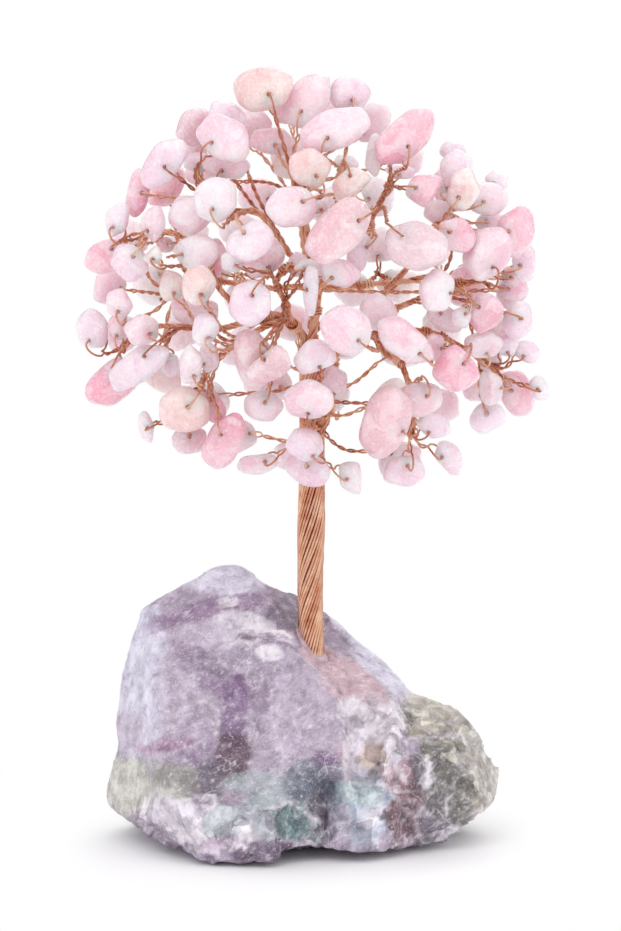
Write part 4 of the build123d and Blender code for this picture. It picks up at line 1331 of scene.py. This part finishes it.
def foot_piece():
    """The adhesive bed, which fills the drilled hole and rises round the trunk as an uneven collar."""
    low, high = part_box("foot_adhesive")
    wide = (high.x - low.x) / 2
    stone = NODES["base_stone"].data
    surface = BVHTree.FromPolygons([vertex.co for vertex in stone.vertices],
                                   [face.vertices for face in stone.polygons])
    turns = [tau * number / BED_SIDES for number in range(BED_SIDES)]
    ways = [Vector((cos(turn), sin(turn), 0)) for turn in turns]
    rises = []
    for way in ways:
        above = way * (wide + FEEL_BEYOND) + Vector((0, 0, TREE_HEIGHT))
        spot = surface.ray_cast(above, Vector((0, 0, -1)))[0]
        rises.append(max(0, spot.z - FEEL_BELOW - high.z) if spot else 0)
    places = []
    for height, share in ((low.z, 1.0), *((high.z + more, share) for more, share in BED_RINGS)):
        for way, rise in zip(ways, rises):
            uneven = 1 + 0.06 * noise.noise(Vector((way.x * 1.5, way.y * 1.5, height / MM * 0.3)))
            level = Vector((0, 0, height + (rise if height > low.z else 0)))
            places.append(way * wide * share * uneven + level)
    heap = Heap()
    heap.rings(places, BED_SIDES)
    heap.piece("foot_bed", ADHESIVE, "adhesive", "foot_adhesive")


# Stage, light and camera

# Strength of the surroundings: what lights matt surfaces, and what reflections show
WORLD_LIGHT = 1.07
CEILING_SEEN = 0.9
FRONT_SEEN = 0.8
WALL_SEEN = 0.28
# Half width of the floor, its colour, and the distances between which it turns plain white
FLOOR_HALF = 6.0
FLOOR_COLOUR = (0.93, 0.93, 0.94, 1)
FLOOR_WHITE = (0.035, 0.085)
# Lamps: place, aim, size and power
LAMPS = {
    "key": ((-0.45, -0.75, 0.85), (0, 0, 0.09), 0.6, 1.5),
    "fill": ((0.7, -0.6, 0.3), (0, 0, 0.07), 0.7, 0.7),
    "rim": ((0.2, 0.8, 0.6), (0, 0, 0.09), 0.6, 1.4),
}
SENSOR_WIDTH = 36
CLIP_RANGE = (0.01, 20)


def floor():
    """A wide pale floor. Away from the stone it is seen, by eye or in a reflection, as plain white."""
    half = FLOOR_HALF
    mesh = new_mesh("floor", [(-half, -half, 0), (half, -half, 0), (half, half, 0), (-half, half, 0)],
                    [(0, 1, 2, 3)])
    in_scene("floor", mesh)
    material = bpy.data.materials.new("floor")
    graph = Graph(material)
    graph.tree.nodes.clear()
    path = graph.node("ShaderNodeLightPath").outputs
    away = graph.vector("LENGTH", graph.node("ShaderNodeTexCoord").outputs["Object"])["Value"]
    far = graph.spread(away, *FLOOR_WHITE, 0.0, 1.0, interpolation_type="SMOOTHSTEP")
    seen = graph.number("MAXIMUM", path["Is Camera Ray"], path["Is Glossy Ray"])
    seen = graph.number("MAXIMUM", seen, path["Is Transmission Ray"])
    matte = graph.node("ShaderNodeBsdfDiffuse", Color=FLOOR_COLOUR).outputs["BSDF"]
    white = graph.node("ShaderNodeEmission").outputs["Emission"]
    mixed = graph.node("ShaderNodeMixShader", graph.number("MULTIPLY", far, seen), matte, white)
    graph.node("ShaderNodeOutputMaterial", mixed.outputs["Shader"])
    mesh.materials.append(material)


def surroundings():
    """Soft light from all round, seen as white. Reflections show a lit ceiling and front, and dim walls."""
    world = bpy.data.worlds.new("studio")
    bpy.context.scene.world = world
    graph = Graph(world)
    graph.tree.nodes.clear()

    def ranged(source, *limits):
        return graph.spread(source, *limits, interpolation_type="SMOOTHSTEP")

    path = graph.node("ShaderNodeLightPath").outputs
    way = graph.node("ShaderNodeSeparateXYZ", graph.node("ShaderNodeTexCoord").outputs["Generated"]).outputs
    ceiling = ranged(way["Z"], 0.3, 0.85, WALL_SEEN, CEILING_SEEN)
    front = ranged(way["Y"], -0.9, -0.35, FRONT_SEEN, WALL_SEEN)
    straight = graph.number("MAXIMUM", path["Is Camera Ray"], path["Is Transmission Ray"])
    mixed = graph.node("ShaderNodeMix", data_type="FLOAT")
    graph.put(path["Is Glossy Ray"], mixed.inputs[0])
    graph.put(ranged(straight, 0, 1, WORLD_LIGHT, 1.0), mixed.inputs[2])
    graph.put(graph.number("MAXIMUM", ceiling, front), mixed.inputs[3])
    back = graph.node("ShaderNodeBackground", (1, 1, 1, 1), mixed.outputs[0])
    graph.node("ShaderNodeOutputWorld", back.outputs["Background"])


def lamp(name, place, target, size, power):
    data = bpy.data.lights.new(name, "AREA")
    data.shape = "DISK"
    data.size = size
    data.energy = power
    made = in_scene(name, data)
    made.location = place
    made.rotation_euler = (Vector(target) - Vector(place)).to_track_quat("-Z", "Y").to_euler()


def camera():
    """The camera that shows the tree as the picture does."""
    data = bpy.data.cameras.new("camera")
    data.sensor_width = SENSOR_WIDTH
    data.lens = data.sensor_width * VIEW_DISTANCE / (PICTURE_HEIGHT_PX * PICTURE_SCALE)
    data.clip_start, data.clip_end = CLIP_RANGE
    made = in_scene("camera", data)
    aside = Vector(((PICTURE_WIDTH_PX / 2 - AXIS_PX) * PICTURE_SCALE, 0, 0))
    made.location = VIEW_CENTRE - VIEW_WAY * VIEW_DISTANCE + aside
    made.rotation_euler = VIEW_WAY.to_track_quat("-Z", "Y").to_euler()
    bpy.context.scene.camera = made


bpy.context.scene.view_settings.view_transform = "Standard"
camera()
floor()
surroundings()
for name, values in LAMPS.items():
    lamp(name, *values)

limbs = limb_lines()
stems = stem_lines(limbs)
limbs_pieces(limbs)
stems_pieces(stems)
trunk_piece()
for branch in BRANCHES:
    dice = random.Random(branch + "_quartz")
    twigs = twigs_of(branch)
    match(twigs, hulls_of(branch))
    chips_piece(branch, twigs, dice)
    heap = Heap()
    for twig in twigs:
        heap.tube(twig_wire(twig, stems[branch], dice), TWIG_RADIUS, tone_and_shade=0.44 + dice.uniform(-0.14, 0.16))
    heap.piece(branch + "_twigs", COPPER, "copper_wire", branch + "_wires")
stone_piece()
foot_piece()

bpy.context.view_layer.update()
